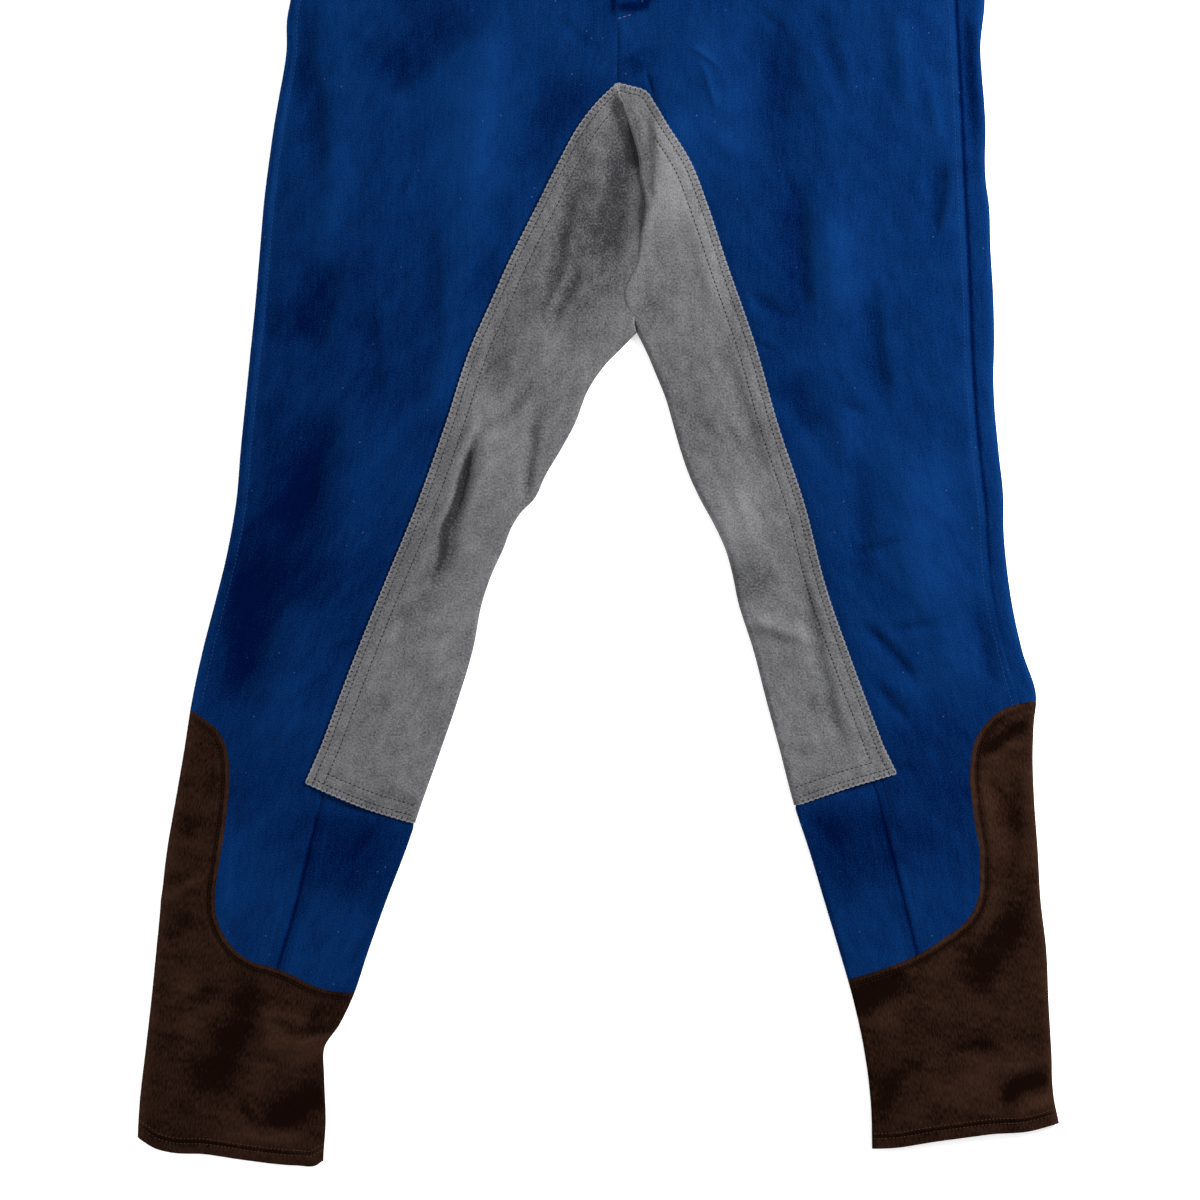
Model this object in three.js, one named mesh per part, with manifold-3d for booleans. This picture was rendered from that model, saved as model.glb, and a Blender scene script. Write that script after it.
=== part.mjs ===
// Riding breeches laid flat on their back, seen from the front.
// Millimetres. +X is the wearer's left, +Y points from the hems to the waist, +Z is up off the table.
// The garment is a flat tube: a back layer on the table and a front layer on it, joined round the leg edges.
// The origin is the middle of the outline, at the height of the table.
import * as THREE from 'three';
import { mergeVertices } from 'three/addons/utils/BufferGeometryUtils.js';
import Module from 'manifold-3d';

const wasm = await Module();
wasm.setup();

// Driving sizes
const LENGTH = 1032;           // waist to the lowest hem
const CLOTH = 1.2;             // wall of the cotton drill, the suede and the elastic cuffs
const BAND_CLOTH = 1.6;        // folded cloth of the waistband
const SEAM_GAP = 0.3;          // between pieces that are sewn to each other
const FRONT_HEIGHT = 4.6;      // outside of the front layer above the table, along the leg edges
const LAYER_SPLIT = 3.1;       // height between the back layer and the front layer
const LOFT = 2.2;              // how much the front layer rises away from the leg edges
const LOFT_REACH = 35;         // distance from an edge over which it rises
const WAIST_BAND = 40;         // depth of the waistband
const FRONT_DIP = 12;          // how much lower the waist is at the centre front than at the back
const INSEAM_INSET = 13;       // inseam to the edge of the suede that covers it
const OUTSEAM_INSET = 2.8;     // outseam to the edge of the wearer's right leg
const LIFT_FULL = 42;           // the back layer stays lifted off the table this far from the suede under it
const LIFT_END = 85;           // and lies on the table from this far on
const WAIST_CURVE = 230;       // half width over which the front waist dips
const INSEAM_TOP = 215;        // below this the inseam follows the suede's edge, above it runs to the crotch
const INSEAM_DROP = 3;         // it meets the centre front this far below the suede's tip
const PAST_CUFF = 20;          // the front panel's block runs this far into the cuff, which is cut off it
const BUTTON_INSET = 5;        // from the centre front to the button's rim
const BUTTON = { radius: 8.5, thickness: 3, rim: 2, recess: 0.8, edge: 0.8, sides: 20 };

const TOP = LENGTH / 2;
const BELOW_HEMS = -TOP - 4;   // the walls run on to here and are cut off at the hem lines
const WAIST_SEAM = TOP - WAIST_BAND;
const SUEDE_STEP = CLOTH + SEAM_GAP;
const ABOVE_WAIST = TOP + 20;
const ABOVE_ALL = 60;          // cutting blocks reach from just under the table to here
const BELOW_ALL = -1;
const FAR = 600;               // cutting blocks reach this far out to the sides
const PAST_EDGE = 40;          // and this far past the inner leg

// Centre lines, from above the waist to below the fork: [x, y]
const CENTRE_X = 13.5;
const CROTCH = [CENTRE_X, 239.5];
const FORK = [26.5, 66];
const FRONT_CENTRE = [
  [CENTRE_X, ABOVE_WAIST], CROTCH, [22, 215], [29, 187], [32.5, 159], [36, 124], [29, 89], FORK,
  [FORK[0], -FAR],
];
const BACK_CENTRE = [[CENTRE_X, ABOVE_WAIST], [CENTRE_X, WAIST_SEAM], FORK, [FORK[0], -FAR]];

// Outline of each half, a row for each section: outer edge, and inner edge below the fork
const RIGHT_OUTLINE = [
  { y: 516, outer: -194 }, { y: 476, outer: -196.5 }, { y: 383, outer: -208 }, { y: 299, outer: -216 },
  { y: 229, outer: -226 }, { y: 159, outer: -232.5 }, { y: 89, outer: -239.5 },
  { y: 66, outer: -242, inner: 26.5 }, { y: 54, outer: -243.5, inner: 15 },
  { y: 19, outer: -246.5, inner: -7 },
  { y: -16, outer: -250, inner: -26.5 }, { y: -51, outer: -253.5, inner: -45.5 },
  { y: -86, outer: -259.5, inner: -67 }, { y: -121, outer: -268, inner: -81 },
  { y: -191, outer: -285, inner: -98.5 }, { y: -261, outer: -296, inner: -123 },
  { y: -331, outer: -306, inner: -148.5 }, { y: -401, outer: -313, inner: -173 },
  { y: -436, outer: -317, inner: -191.5 }, { y: -488, outer: -322, inner: -191 },
  { y: BELOW_HEMS, outer: -321, inner: -192 },
];
const LEFT_OUTLINE = [
  { y: 516, outer: 246 }, { y: 476, outer: 249.5 }, { y: 383, outer: 260.5 }, { y: 299, outer: 270.5 },
  { y: 264, outer: 267 }, { y: 229, outer: 269.5 }, { y: 159, outer: 272.5 }, { y: 89, outer: 276 },
  { y: 66, outer: 276.5, inner: 26.5 }, { y: 54, outer: 276.5, inner: 32.5 },
  { y: 19, outer: 276, inner: 47 },
  { y: -16, outer: 279.5, inner: 57 }, { y: -51, outer: 283, inner: 71 },
  { y: -86, outer: 284.5, inner: 88.5 }, { y: -121, outer: 288.5, inner: 96.5 },
  { y: -191, outer: 306, inner: 117 }, { y: -261, outer: 304.5, inner: 135 },
  { y: -331, outer: 309, inner: 157.5 }, { y: -401, outer: 314.5, inner: 178 },
  { y: -436, outer: 315, inner: 185.5 }, { y: -488, outer: 322, inner: 191 },
  { y: BELOW_HEMS, outer: 322, inner: 191 },
];

// Edge of the suede on the front layer, downwards, and its lower edge from the outer corner to the inner leg
const RIGHT_SUEDE = [
  CROTCH, [-1.5, 225.5], [-12.5, 211.5], [-28, 183.5], [-42, 155.5], [-63, 113.5], [-88, 57.5], [-106.5, 1.5],
  [-126.5, -54.5], [-149.5, -110.5], [-172, -166.5], [-193, -222.5], [-204.5, -248.5],
];
const LEFT_SUEDE = [
  CROTCH, [20.5, 237.5], [36, 232.5], [38.5, 225.5], [46.5, 211.5], [64, 183.5], [75, 155.5], [89, 113.5],
  [108.5, 57.5], [124.5, 1.5], [143, -54.5], [157.5, -110.5], [177, -166.5], [198, -222.5], [207.5, -242],
];
const RIGHT_SUEDE_FOOT = [[-204.5, -248.5], [-128.5, -277]];
const LEFT_SUEDE_FOOT = [[207.5, -242], [137.5, -264.5]];

// Width of the suede on the back layer, from the inner leg or from the centre back
const BACK_SUEDE = [
  { y: 328, width: 0 }, { y: 326, width: 24 }, { y: 318, width: 72 }, { y: 300, width: 118 },
  { y: 275, width: 146 }, { y: 240, width: 152 }, { y: 200, width: 146 }, { y: 155, width: 132 },
  { y: 113, width: 120 }, { y: 57, width: 104 }, { y: -54, width: 80 }, { y: -166, width: 80 },
  { y: -250, width: 70 },
];

// Inseams below the suede, where they show, and the outseam of the wearer's left leg, downwards
const RIGHT_CALF_SEAM = [[-193, -258], [-203, -299.5], [-213.5, -342], [-224, -376], [-232, -402]];
const LEFT_CALF_SEAM = [[192, -249], [201.5, -287], [211.5, -325.5], [222, -368], [229, -396]];
const LEFT_OUTSEAM = [
  [232, TOP + 20], [249.5, 299], [253, 229], [257, 147], [261, 85], [264, 19], [269.5, -51], [276.5, -121],
  [283.5, -163], [292.5, -193], [300, -215],
];

// S-shaped top edge of each cuff, from outside the outer edge to inside the inner edge
const RIGHT_CUFF_TOP = [
  [-305, -189], [-285, -198], [-274.5, -205], [-266.5, -211.5], [-261, -221], [-258.5, -231.5],
  [-258, -247.5], [-261, -280], [-266.5, -315], [-268, -329.5], [-266.5, -343.5], [-263, -352.5],
  [-256, -363], [-244, -372.5], [-229, -377], [-217, -381.5], [-198.5, -390.5], [-184.5, -394.5],
  [-170.5, -395.5], [-140, -396],
];
const LEFT_CUFF_TOP = [
  [330, -191], [306.5, -191.5], [295.5, -193], [280, -198.5], [269, -208.5], [262.5, -219.5], [260, -231],
  [259, -245.5], [262.5, -278], [265.5, -294], [266, -310], [265.5, -325.5], [261, -338.5], [253, -348.5],
  [243.5, -355], [227.5, -366], [211.5, -373.5], [195.5, -379.5], [176, -385.5], [150, -393],
];
const RIGHT_HEM = [
  [-335, -488], [-321.5, -497], [-310, -504], [-301, -506.5], [-274.5, -508], [-244, -512.5], [-210.5, -516],
  [-197.5, -516], [-193, -511.5], [-180, -500],
];
const LEFT_HEM = [
  [335, -483], [322, -486.5], [301, -492], [275, -494], [203, -504], [190, -504.5], [175, -505],
];

// Largest folds of the front layer, a row each: path, half width and height; a minus height is a trough
const FOLDS = [
  { name: 'crotch fold', side: 1, path: [[42, 224], [40, 156], [32, 96]], half: 8, height: 4.8 },
  { name: 'inner thigh hollow', side: -1, path: [[18, 214], [4, 110]], half: 14, height: -2.0 },
  { name: 'thigh crease', side: -1, path: [[-82, -2], [-96, -37], [-117, -116]], half: 7, height: -2.4 },
  { name: 'beside the crease', side: -1, path: [[-68, -10], [-97, -118]], half: 10, height: 1.8 },
  { name: 'right hip', side: -1, path: [[-110, 330], [-118, 235]], half: 16, height: -1.3 },
  { name: 'right thigh', side: -1, path: [[-202, 215], [-206, 5]], half: 16, height: -1.3 },
  { name: 'right thigh ridge', side: -1, path: [[-168, 205], [-166, 0]], half: 22, height: 1.2 },
  { name: 'right knee', side: -1, path: [[-233, -105], [-244, -168]], half: 17, height: -1.2 },
  { name: 'right knee ridge', side: -1, path: [[-165, -50], [-190, -155]], half: 20, height: 1.3 },
  { name: 'left thigh ridge', side: 1, path: [[176, 280], [190, 120]], half: 25, height: 1.5 },
  { name: 'left thigh', side: 1, path: [[146, 22], [170, -18]], half: 16, height: -1.3 },
  { name: 'left hip', side: 1, path: [[236, 195], [244, 110]], half: 10, height: -1.4 },
  { name: 'left knee ridge', side: 1, path: [[228, -55], [250, -160]], half: 18, height: 1.4 },
  { name: 'left knee', side: 1, path: [[140, -155], [160, -206]], half: 8, height: -1.4 },
  { name: 'right cuff', side: -1, path: [[-180, -404], [-196, -438], [-243, -492]], half: 12, height: 3.0 },
  { name: 'right cuff hollow', side: -1, path: [[-188, -470], [-240, -480]], half: 12, height: -2.0 },
  { name: 'left cuff', side: 1, path: [[296, -340], [236, -420]], half: 13, height: 2.4 },
  { name: 'left cuff hollow', side: 1, path: [[186, -398], [214, -400]], half: 10, height: -2.0 },
  { name: 'left cuff, lower', side: 1, path: [[308, -455], [262, -482]], half: 11, height: 2.2 },
];

// Shares of the way from the outer edge to the inner edge at which the walls have a column of points
const FRONT_COLUMNS = [0, 0.11, 0.22, 0.34, 0.46, 0.57, 0.66, 0.73, 0.79, 0.85, 0.9, 0.95, 1];
const BACK_COLUMNS = [0, 0.22, 0.42, 0.61, 0.8, 1];
const BEND_ANGLES = [45, 90, 135];

// Sections added to the outline's own, round the crotch
const CROTCH_ROWS = [240, 212, 186, 141, 115];
const JUST_ABOVE_FORK = 10;
const OVERLAP = 14;            // each half runs on past the centre above the fork, and is cut there

const SIDES = {
  right: {
    sign: -1, outline: RIGHT_OUTLINE, suede: RIGHT_SUEDE, foot: RIGHT_SUEDE_FOOT, calf: RIGHT_CALF_SEAM,
    cuffTop: RIGHT_CUFF_TOP, hem: RIGHT_HEM,
  },
  left: {
    sign: 1, outline: LEFT_OUTLINE, suede: LEFT_SUEDE, foot: LEFT_SUEDE_FOOT, calf: LEFT_CALF_SEAM,
    cuffTop: LEFT_CUFF_TOP, hem: LEFT_HEM,
  },
};

const COLOURS = {
  drill: { color: 0x0a2f63, roughness: 0.85 },
  suede: { color: 0x6d6d6f, roughness: 0.95 },
  jersey: { color: 0x2e1d16, roughness: 0.8 },
  button: { color: 0x16243f, roughness: 0.4 },
};

function mix(a, b, t) {
  return a + (b - a) * t;
}

// Value of a column at a height, from a table whose rows go downwards
function valueAt(rows, y, column) {
  const known = rows.filter((row) => row[column] !== undefined);
  if (y >= known[0].y) return known[0][column];
  for (let i = 1; i < known.length; i += 1) {
    if (y >= known[i].y) {
      const t = (known[i - 1].y - y) / (known[i - 1].y - known[i].y);
      return mix(known[i - 1][column], known[i][column], t);
    }
  }
  return known.at(-1)[column];
}

function lineX(line, y) {
  return valueAt(line.map(([x, height]) => ({ y: height, x })), y, 'x');
}

function distanceToPath(x, y, path) {
  let nearest = Infinity;
  for (let i = 1; i < path.length; i += 1) {
    const [from, to] = [path[i - 1], path[i]];
    const [dx, dy] = [to[0] - from[0], to[1] - from[1]];
    const t = THREE.MathUtils.clamp(((x - from[0]) * dx + (y - from[1]) * dy) / (dx * dx + dy * dy), 0, 1);
    nearest = Math.min(nearest, Math.hypot(x - from[0] - t * dx, y - from[1] - t * dy));
  }
  return nearest;
}

function innerEdge(side, y) {
  if (y <= FORK[1]) {
    const covered = y > side.foot[1][1] - 1;
    return valueAt(side.outline, y, 'inner') + (covered ? side.sign * SUEDE_STEP : 0);
  }
  const furthest = side.sign < 0 ? Math.max(...FRONT_CENTRE.map(([x]) => x)) : CENTRE_X;
  return furthest - side.sign * OVERLAP;
}

// Inner edge of the leg, or the centre back above the fork, from which the back suede is measured
function backSuedeOrigin(side, y) {
  return y <= FORK[1] ? valueAt(side.outline, y, 'inner') : lineX(BACK_CENTRE, y);
}

// Outside of the front layer
function frontHeight(side, x, y) {
  const fromOuter = Math.abs(x - valueAt(side.outline, y, 'outer'));
  const fromInner = y <= FORK[1]
    ? Math.abs(x - valueAt(side.outline, y, 'inner'))
    : Math.hypot(x - FORK[0], y - FORK[1]);
  const loft = LOFT * (1 - Math.exp(-Math.min(fromOuter, fromInner) / LOFT_REACH));
  let folds = 0;
  for (const fold of FOLDS) {
    if (fold.side !== side.sign) continue;
    folds += fold.height * Math.exp(-((distanceToPath(x, y, fold.path) / fold.half) ** 2));
  }
  return FRONT_HEIGHT + Math.max(0, loft + folds);
}

// Outside of the back layer: on the table, but lifted where the suede lies under it and for a way beyond
function backHeight(side, x, y) {
  const width = valueAt(BACK_SUEDE, y, 'width');
  const across = Math.abs(x - backSuedeOrigin(side, y)) - width;
  const above = y - BACK_SUEDE[0].y;
  const below = side.foot[1][1] - y;
  const away = Math.max(across, above, below);
  return SUEDE_STEP * (1 - THREE.MathUtils.smoothstep(away, LIFT_FULL, LIFT_END));
}

function rowHeights(side) {
  const rows = [...side.outline.map(({ y }) => y), ...CROTCH_ROWS, FORK[1] + JUST_ABOVE_FORK];
  return rows.sort((a, b) => b - a);
}

// One closed section of a leg tube, moved outwards by offset: front layer, inner bend, back layer, outer bend
function section(side, y, offset) {
  const outer = valueAt(side.outline, y, 'outer');
  const inner = innerEdge(side, y);
  const bend = (x, towards) => {
    const [high, low] = [frontHeight(side, x, y), backHeight(side, x, y)];
    const radius = (high - low) / 2;
    return { x: x - towards * radius, z: (high + low) / 2, radius, towards };
  };
  const outerBend = bend(outer, side.sign);
  const innerBend = bend(inner, -side.sign);
  const bendPoint = ({ x, z, radius, towards }, degrees) => {
    const angle = THREE.MathUtils.degToRad(degrees);
    return [x + towards * Math.sin(angle) * (radius + offset), z + Math.cos(angle) * (radius + offset)];
  };
  const points = [];
  for (const share of FRONT_COLUMNS) {
    const x = mix(outerBend.x, innerBend.x, share);
    points.push([x, frontHeight(side, x, y) + offset]);
  }
  for (const degrees of BEND_ANGLES) points.push(bendPoint(innerBend, degrees));
  for (const share of [...BACK_COLUMNS].reverse()) {
    const x = mix(outerBend.x, innerBend.x, share);
    points.push([x, backHeight(side, x, y) - offset]);
  }
  for (const degrees of [...BEND_ANGLES].reverse()) points.push(bendPoint(outerBend, degrees));
  return points.map(([x, z]) => [x, y, z]);
}

// Closed mesh between two offsets of the leg tube, open like a sleeve at both ends
function tubeWall(side, innerOffset, outerOffset) {
  const rows = rowHeights(side);
  const skins = [outerOffset, innerOffset].map((offset) => rows.map((y) => section(side, y, offset)));
  const around = skins[0][0].length;
  const index = (skin, row, k) => (skin * rows.length + row) * around + (k % around);
  const faces = [];
  const quad = (a, b, c, d) => faces.push(a, b, c, a, c, d);
  for (let k = 0; k < around; k += 1) {
    for (let row = 0; row + 1 < rows.length; row += 1) {
      quad(index(0, row, k), index(0, row + 1, k), index(0, row + 1, k + 1), index(0, row, k + 1));
      quad(index(1, row, k), index(1, row, k + 1), index(1, row + 1, k + 1), index(1, row + 1, k));
    }
    const last = rows.length - 1;
    quad(index(0, 0, k), index(0, 0, k + 1), index(1, 0, k + 1), index(1, 0, k));
    quad(index(0, last, k), index(1, last, k), index(1, last, k + 1), index(0, last, k + 1));
  }
  if (side.sign > 0) faces.reverse();
  return solid(skins.flat(2).flat(), faces);
}

function solid(positions, triangles) {
  return new wasm.Manifold(new wasm.Mesh({
    numProp: 3, vertProperties: new Float32Array(positions), triVerts: new Uint32Array(triangles),
  }));
}

function solidFrom(geometry) {
  geometry.deleteAttribute('normal');
  geometry.deleteAttribute('uv');
  const merged = mergeVertices(geometry, 1e-4);
  return solid(merged.attributes.position.array, merged.index.array);
}

// Upright block over an outline, between two heights
function block(outline, low, high) {
  const shape = new THREE.Shape(outline.map(([x, y]) => new THREE.Vector2(x, y)));
  const geometry = new THREE.ExtrudeGeometry(shape, { depth: high - low, bevelEnabled: false });
  geometry.translate(0, 0, low);
  return solidFrom(geometry);
}

// The line moved sideways: a plus distance moves it to the left of its direction
function shifted(line, distance) {
  return line.map(([x, y], i) => {
    const before = line[Math.max(i - 1, 0)];
    const after = line[Math.min(i + 1, line.length - 1)];
    const length = Math.hypot(after[0] - before[0], after[1] - before[1]);
    const step = distance / length;
    return [x - step * (after[1] - before[1]), y + step * (after[0] - before[0])];
  });
}

function closeAt(line, x) {
  return [...line, [x, line.at(-1)[1]], [x, line[0][1]]];
}

// Region of one half: outwards of the centre line on each layer
function halfBlock(side) {
  const clear = (side.sign * SEAM_GAP) / 2;
  const front = closeAt(shifted(FRONT_CENTRE, clear), side.sign * FAR);
  const back = closeAt(shifted(BACK_CENTRE, clear), side.sign * FAR);
  return block(front, LAYER_SPLIT, ABOVE_ALL).add(block(back, BELOW_ALL, LAYER_SPLIT));
}

// Waist line of a layer, lower at the centre front
function waistLine(level, dip) {
  const steps = 16;
  const line = [];
  for (let i = 0; i <= steps; i += 1) {
    const x = mix(-FAR, FAR, i / steps);
    const away = Math.min(Math.abs(x - CENTRE_X) / WAIST_CURVE, 1);
    line.push([x, level - (dip / 2) * (1 + Math.cos(Math.PI * away))]);
  }
  return line;
}

function bandBetween(levelHigh, levelLow, dip, low, high) {
  return block([...waistLine(levelHigh, dip), ...waistLine(levelLow, dip).reverse()], low, high);
}

// Region between two waist levels, with the dip on the front layer alone
function waistBlock(levelHigh, levelLow) {
  return bandBetween(levelHigh, levelLow, FRONT_DIP, LAYER_SPLIT, ABOVE_ALL)
    .add(bandBetween(levelHigh, levelLow, 0, BELOW_ALL, LAYER_SPLIT));
}

function inseam(side) {
  const covered = side.suede.filter(([, y]) => y < INSEAM_TOP).slice(0, -1);
  return [...covered.map(([x, y]) => [x - side.sign * INSEAM_INSET, y]), ...side.calf];
}

function outseam(side) {
  if (side === SIDES.left) return LEFT_OUTSEAM;
  const toCuff = side.outline.filter(({ y }) => y > side.cuffTop[1][1]);
  return toCuff.map(({ y, outer }) => [outer + OUTSEAM_INSET, y]);
}

// Region of the front panel on the front layer: centre front and inseam on one side, outseam on the other
function frontBlock(side, clear) {
  const shift = side.sign * clear;
  const inner = [[CENTRE_X, ABOVE_WAIST], [CENTRE_X, CROTCH[1] - INSEAM_DROP], ...inseam(side)];
  const outer = outseam(side);
  outer[0] = [outer[0][0], ABOVE_WAIST];
  const foot = [outer.at(-1)[0] + side.sign * PAST_CUFF, inner.at(-1)[1] - PAST_CUFF];
  return block([...shifted(inner, shift), foot, ...shifted(outer, -shift).reverse()], LAYER_SPLIT, ABOVE_ALL);
}

// Region of the cuff on both layers: below its top edge and above the hem line
function cuffBlock(side, clear) {
  const top = shifted(side.cuffTop, side.sign * clear);
  return block([...top, ...[...side.hem].reverse()], BELOW_ALL, ABOVE_ALL);
}

function aboveCuff(side, clear) {
  const top = shifted(side.cuffTop, -side.sign * clear);
  const [outwards, inwards] = [side.sign * FAR, FORK[0] - side.sign * 2 * PAST_EDGE];
  const around = [
    [inwards, top.at(-1)[1]], [inwards, ABOVE_WAIST], [outwards, ABOVE_WAIST], [outwards, top[0][1]],
  ];
  return block([...top, ...around], BELOW_ALL, ABOVE_ALL);
}

// Region of the suede: its front edge on the front layer, its seat edge on the back layer
function suedeBlock(side) {
  const past = -side.sign * PAST_EDGE;
  const [footX, footY] = side.foot[1];
  const aroundFork = [[footX, footY], [footX + past, footY], [FORK[0] + past, FORK[1]]];
  const front = [...side.suede, ...aroundFork, [CENTRE_X + past, side.suede[0][1] - past / 10]];
  const seat = BACK_SUEDE.map(({ y, width }) => [backSuedeOrigin(side, y) + side.sign * width, y]);
  const back = [...seat, ...aroundFork, [CENTRE_X + past, seat[0][1]]];
  return block(front, LAYER_SPLIT, ABOVE_ALL).add(block(back, BELOW_ALL, LAYER_SPLIT));
}

function meshOf(name, shape, finish) {
  const { vertProperties, triVerts } = shape.getMesh();
  const geometry = new THREE.BufferGeometry();
  geometry.setAttribute('position', new THREE.BufferAttribute(Float32Array.from(vertProperties), 3));
  geometry.setIndex(new THREE.BufferAttribute(Uint32Array.from(triVerts), 1));
  const flat = geometry.toNonIndexed();
  flat.computeVertexNormals();
  const mesh = new THREE.Mesh(flat, new THREE.MeshStandardMaterial({ ...finish, metalness: 0 }));
  mesh.name = name;
  return mesh;
}

// The pieces of one half of the breeches
function halfPieces(name) {
  const side = SIDES[name];
  const half = halfBlock(side);
  const clear = SEAM_GAP / 2;
  const wall = tubeWall(side, -CLOTH, 0).intersect(half);
  const band = tubeWall(side, -BAND_CLOTH, 0).intersect(half).intersect(waistBlock(TOP, WAIST_SEAM + clear));
  const panels = wall.intersect(waistBlock(WAIST_SEAM - clear, BELOW_HEMS)).intersect(aboveCuff(side, clear));
  const front = panels.intersect(frontBlock(side, clear));
  const back = panels.subtract(frontBlock(side, -clear));
  const cuff = wall.intersect(cuffBlock(side, clear));
  const suede = tubeWall(side, SEAM_GAP, SUEDE_STEP).intersect(half).intersect(suedeBlock(side));
  return [
    meshOf(`waistband_${name}`, band, COLOURS.drill),
    meshOf(`front_${name}`, front, COLOURS.drill),
    meshOf(`back_${name}`, back, COLOURS.drill),
    meshOf(`seat_patch_${name}`, suede, COLOURS.suede),
    meshOf(`cuff_${name}`, cuff, COLOURS.jersey),
  ];
}

// Button on the waistband, beside the centre front
function waistButton() {
  const { radius, thickness, rim, recess, edge, sides } = BUTTON;
  const profile = [
    [0, 0], [radius - edge, 0], [radius, edge], [radius, thickness - edge], [radius - edge, thickness],
    [radius - rim, thickness], [radius - rim - recess, thickness - recess], [0, thickness - recess],
  ].map(([r, h]) => new THREE.Vector2(r, h));
  const geometry = new THREE.LatheGeometry(profile, sides);
  geometry.rotateX(Math.PI / 2);
  const centre = [CENTRE_X + radius + BUTTON_INSET, TOP - FRONT_DIP - WAIST_BAND / 2];
  const heights = [-1, 0, 1].map((k) => frontHeight(SIDES.left, centre[0] + k * radius, centre[1]));
  geometry.translate(centre[0], centre[1], Math.max(...heights) + SEAM_GAP);
  return meshOf('waist_button', solidFrom(geometry), COLOURS.button);
}

const group = new THREE.Group();
group.add(...halfPieces('right'), ...halfPieces('left'), waistButton());

export default group;
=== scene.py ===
# %% [markdown]
# # Riding breeches, laid flat
# The object is a pair of riding breeches lying on its back: blue cotton drill, a full seat of grey suede
# that comes round the inner legs to the front, and stretchy brown cuffs with an S-shaped top edge. The CAD
# model gives the frame. Each of its pieces is plain, so every one of them is replaced here by a cloth
# shell with its own folds, seams and stitches. Lengths are written in millimetres and scaled once, when a
# mesh is made, because a maker thinks of a seam allowance as 10 and not as 0.010.

# %% Load the frame
import math
from collections import namedtuple

import bpy
import numpy as np
from mathutils import Matrix, Vector
from mathutils.geometry import delaunay_2d_cdt
from mathutils.kdtree import KDTree


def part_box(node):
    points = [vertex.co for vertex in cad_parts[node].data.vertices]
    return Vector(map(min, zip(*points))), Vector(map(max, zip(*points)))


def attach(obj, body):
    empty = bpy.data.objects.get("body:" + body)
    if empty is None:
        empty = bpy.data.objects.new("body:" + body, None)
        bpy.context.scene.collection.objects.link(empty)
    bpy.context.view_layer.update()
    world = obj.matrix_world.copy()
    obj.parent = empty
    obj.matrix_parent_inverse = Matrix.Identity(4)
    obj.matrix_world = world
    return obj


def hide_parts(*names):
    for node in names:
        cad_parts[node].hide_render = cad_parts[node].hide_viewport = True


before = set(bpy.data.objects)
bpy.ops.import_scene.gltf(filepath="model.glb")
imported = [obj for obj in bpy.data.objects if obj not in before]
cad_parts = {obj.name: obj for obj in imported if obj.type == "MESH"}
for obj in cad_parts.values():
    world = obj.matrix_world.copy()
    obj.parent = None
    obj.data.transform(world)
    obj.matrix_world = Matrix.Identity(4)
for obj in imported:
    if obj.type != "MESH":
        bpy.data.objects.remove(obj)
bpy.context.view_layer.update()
print("CAD nodes:", ", ".join(sorted(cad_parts)))

# %% [markdown]
# ## The measures that everything follows
# The garment is a flat tube. Its back layer lies on the table, its front layer lies on the back layer, and
# both are joined round the leg edges by a small bend. The heights below are those of the outside of the
# blue cloth.

# %% Driving sizes, in millimetres
MM = 0.001
TOP = 516
WAIST_BAND = 40
WAIST_SEAM = TOP - WAIST_BAND
FRONT_DIP = 12
WAIST_CURVE = 200
SEAM_GAP = 0.08
FRONT_HEIGHT = 4.6
LOWEST_FRONT = 2.9
LOFT = 2.4
LOFT_REACH = 35
SUEDE_STEP = 1.3
DRILL_CLOTH = 0.9
SUEDE_CLOTH = 0.9
JERSEY_CLOTH = 1.0
BAND_CLOTH = 1.4
LIFT_FULL = 42
LIFT_END = 85
BEND_ROOM = 3.6
FOLD_RADIUS = 0.9
FOLD_TOP = 230
FLARE = 3.0
FLARE_REACH = 20
CENTRE_X = 12.8
FORK = (26.5, 66)
CROTCH = (CENTRE_X, 239.5)
INSEAM_INSET = 13
INSEAM_TOP = 215
INSEAM_FOOT = -222
OUTSEAM_INSET = 2.8
TUCK_UNDER = 6

# %% [markdown]
# ## Outline and seam lines
# A garment drawn flat is a handful of lines. Each table runs down the page as x, y points in millimetres.
# Most points of the leg and suede edges are colour edges that a small program found on evenly spaced rows
# of the photograph. The points of the other lines were read from enlarged crops. A smooth curve goes
# through them, so that no corner of a table shows in the cloth.

# %% Outline of each leg
RIGHT_OUTER = [
    (-194, 516), (-196.5, 476), (-208, 383), (-213, 330), (-215.5, 299), (-218, 286), (-218.5, 264),
    (-224, 229), (-227, 211.5), (-229.5, 194), (-234, 159), (-237, 124), (-240, 89), (-243.5, 54),
    (-247, 19), (-250.5, -16), (-253.5, -51), (-259.5, -86), (-268, -121), (-277, -156), (-284.5, -191),
    (-290, -226), (-296, -261), (-302, -296), (-306, -331), (-309.5, -366), (-313, -401), (-317, -436),
    (-321, -471), (-322.5, -497), (-322.5, -525),
]
RIGHT_INNER = [
    (26.5, 66), (15, 54), (6, 45), (-7, 26.5), (-17, 1.5), (-26.5, -16), (-37, -33.5), (-45.5, -51),
    (-54, -59.5), (-60, -68.5), (-67, -86), (-75, -103.5), (-81, -121), (-88, -156), (-98.5, -191),
    (-110.5, -226), (-123, -261), (-135, -296), (-148.5, -331), (-161, -366), (-173, -401), (-182, -419),
    (-191.5, -433), (-192, -454), (-191, -488), (-192.5, -511), (-192.5, -525),
]
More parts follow.
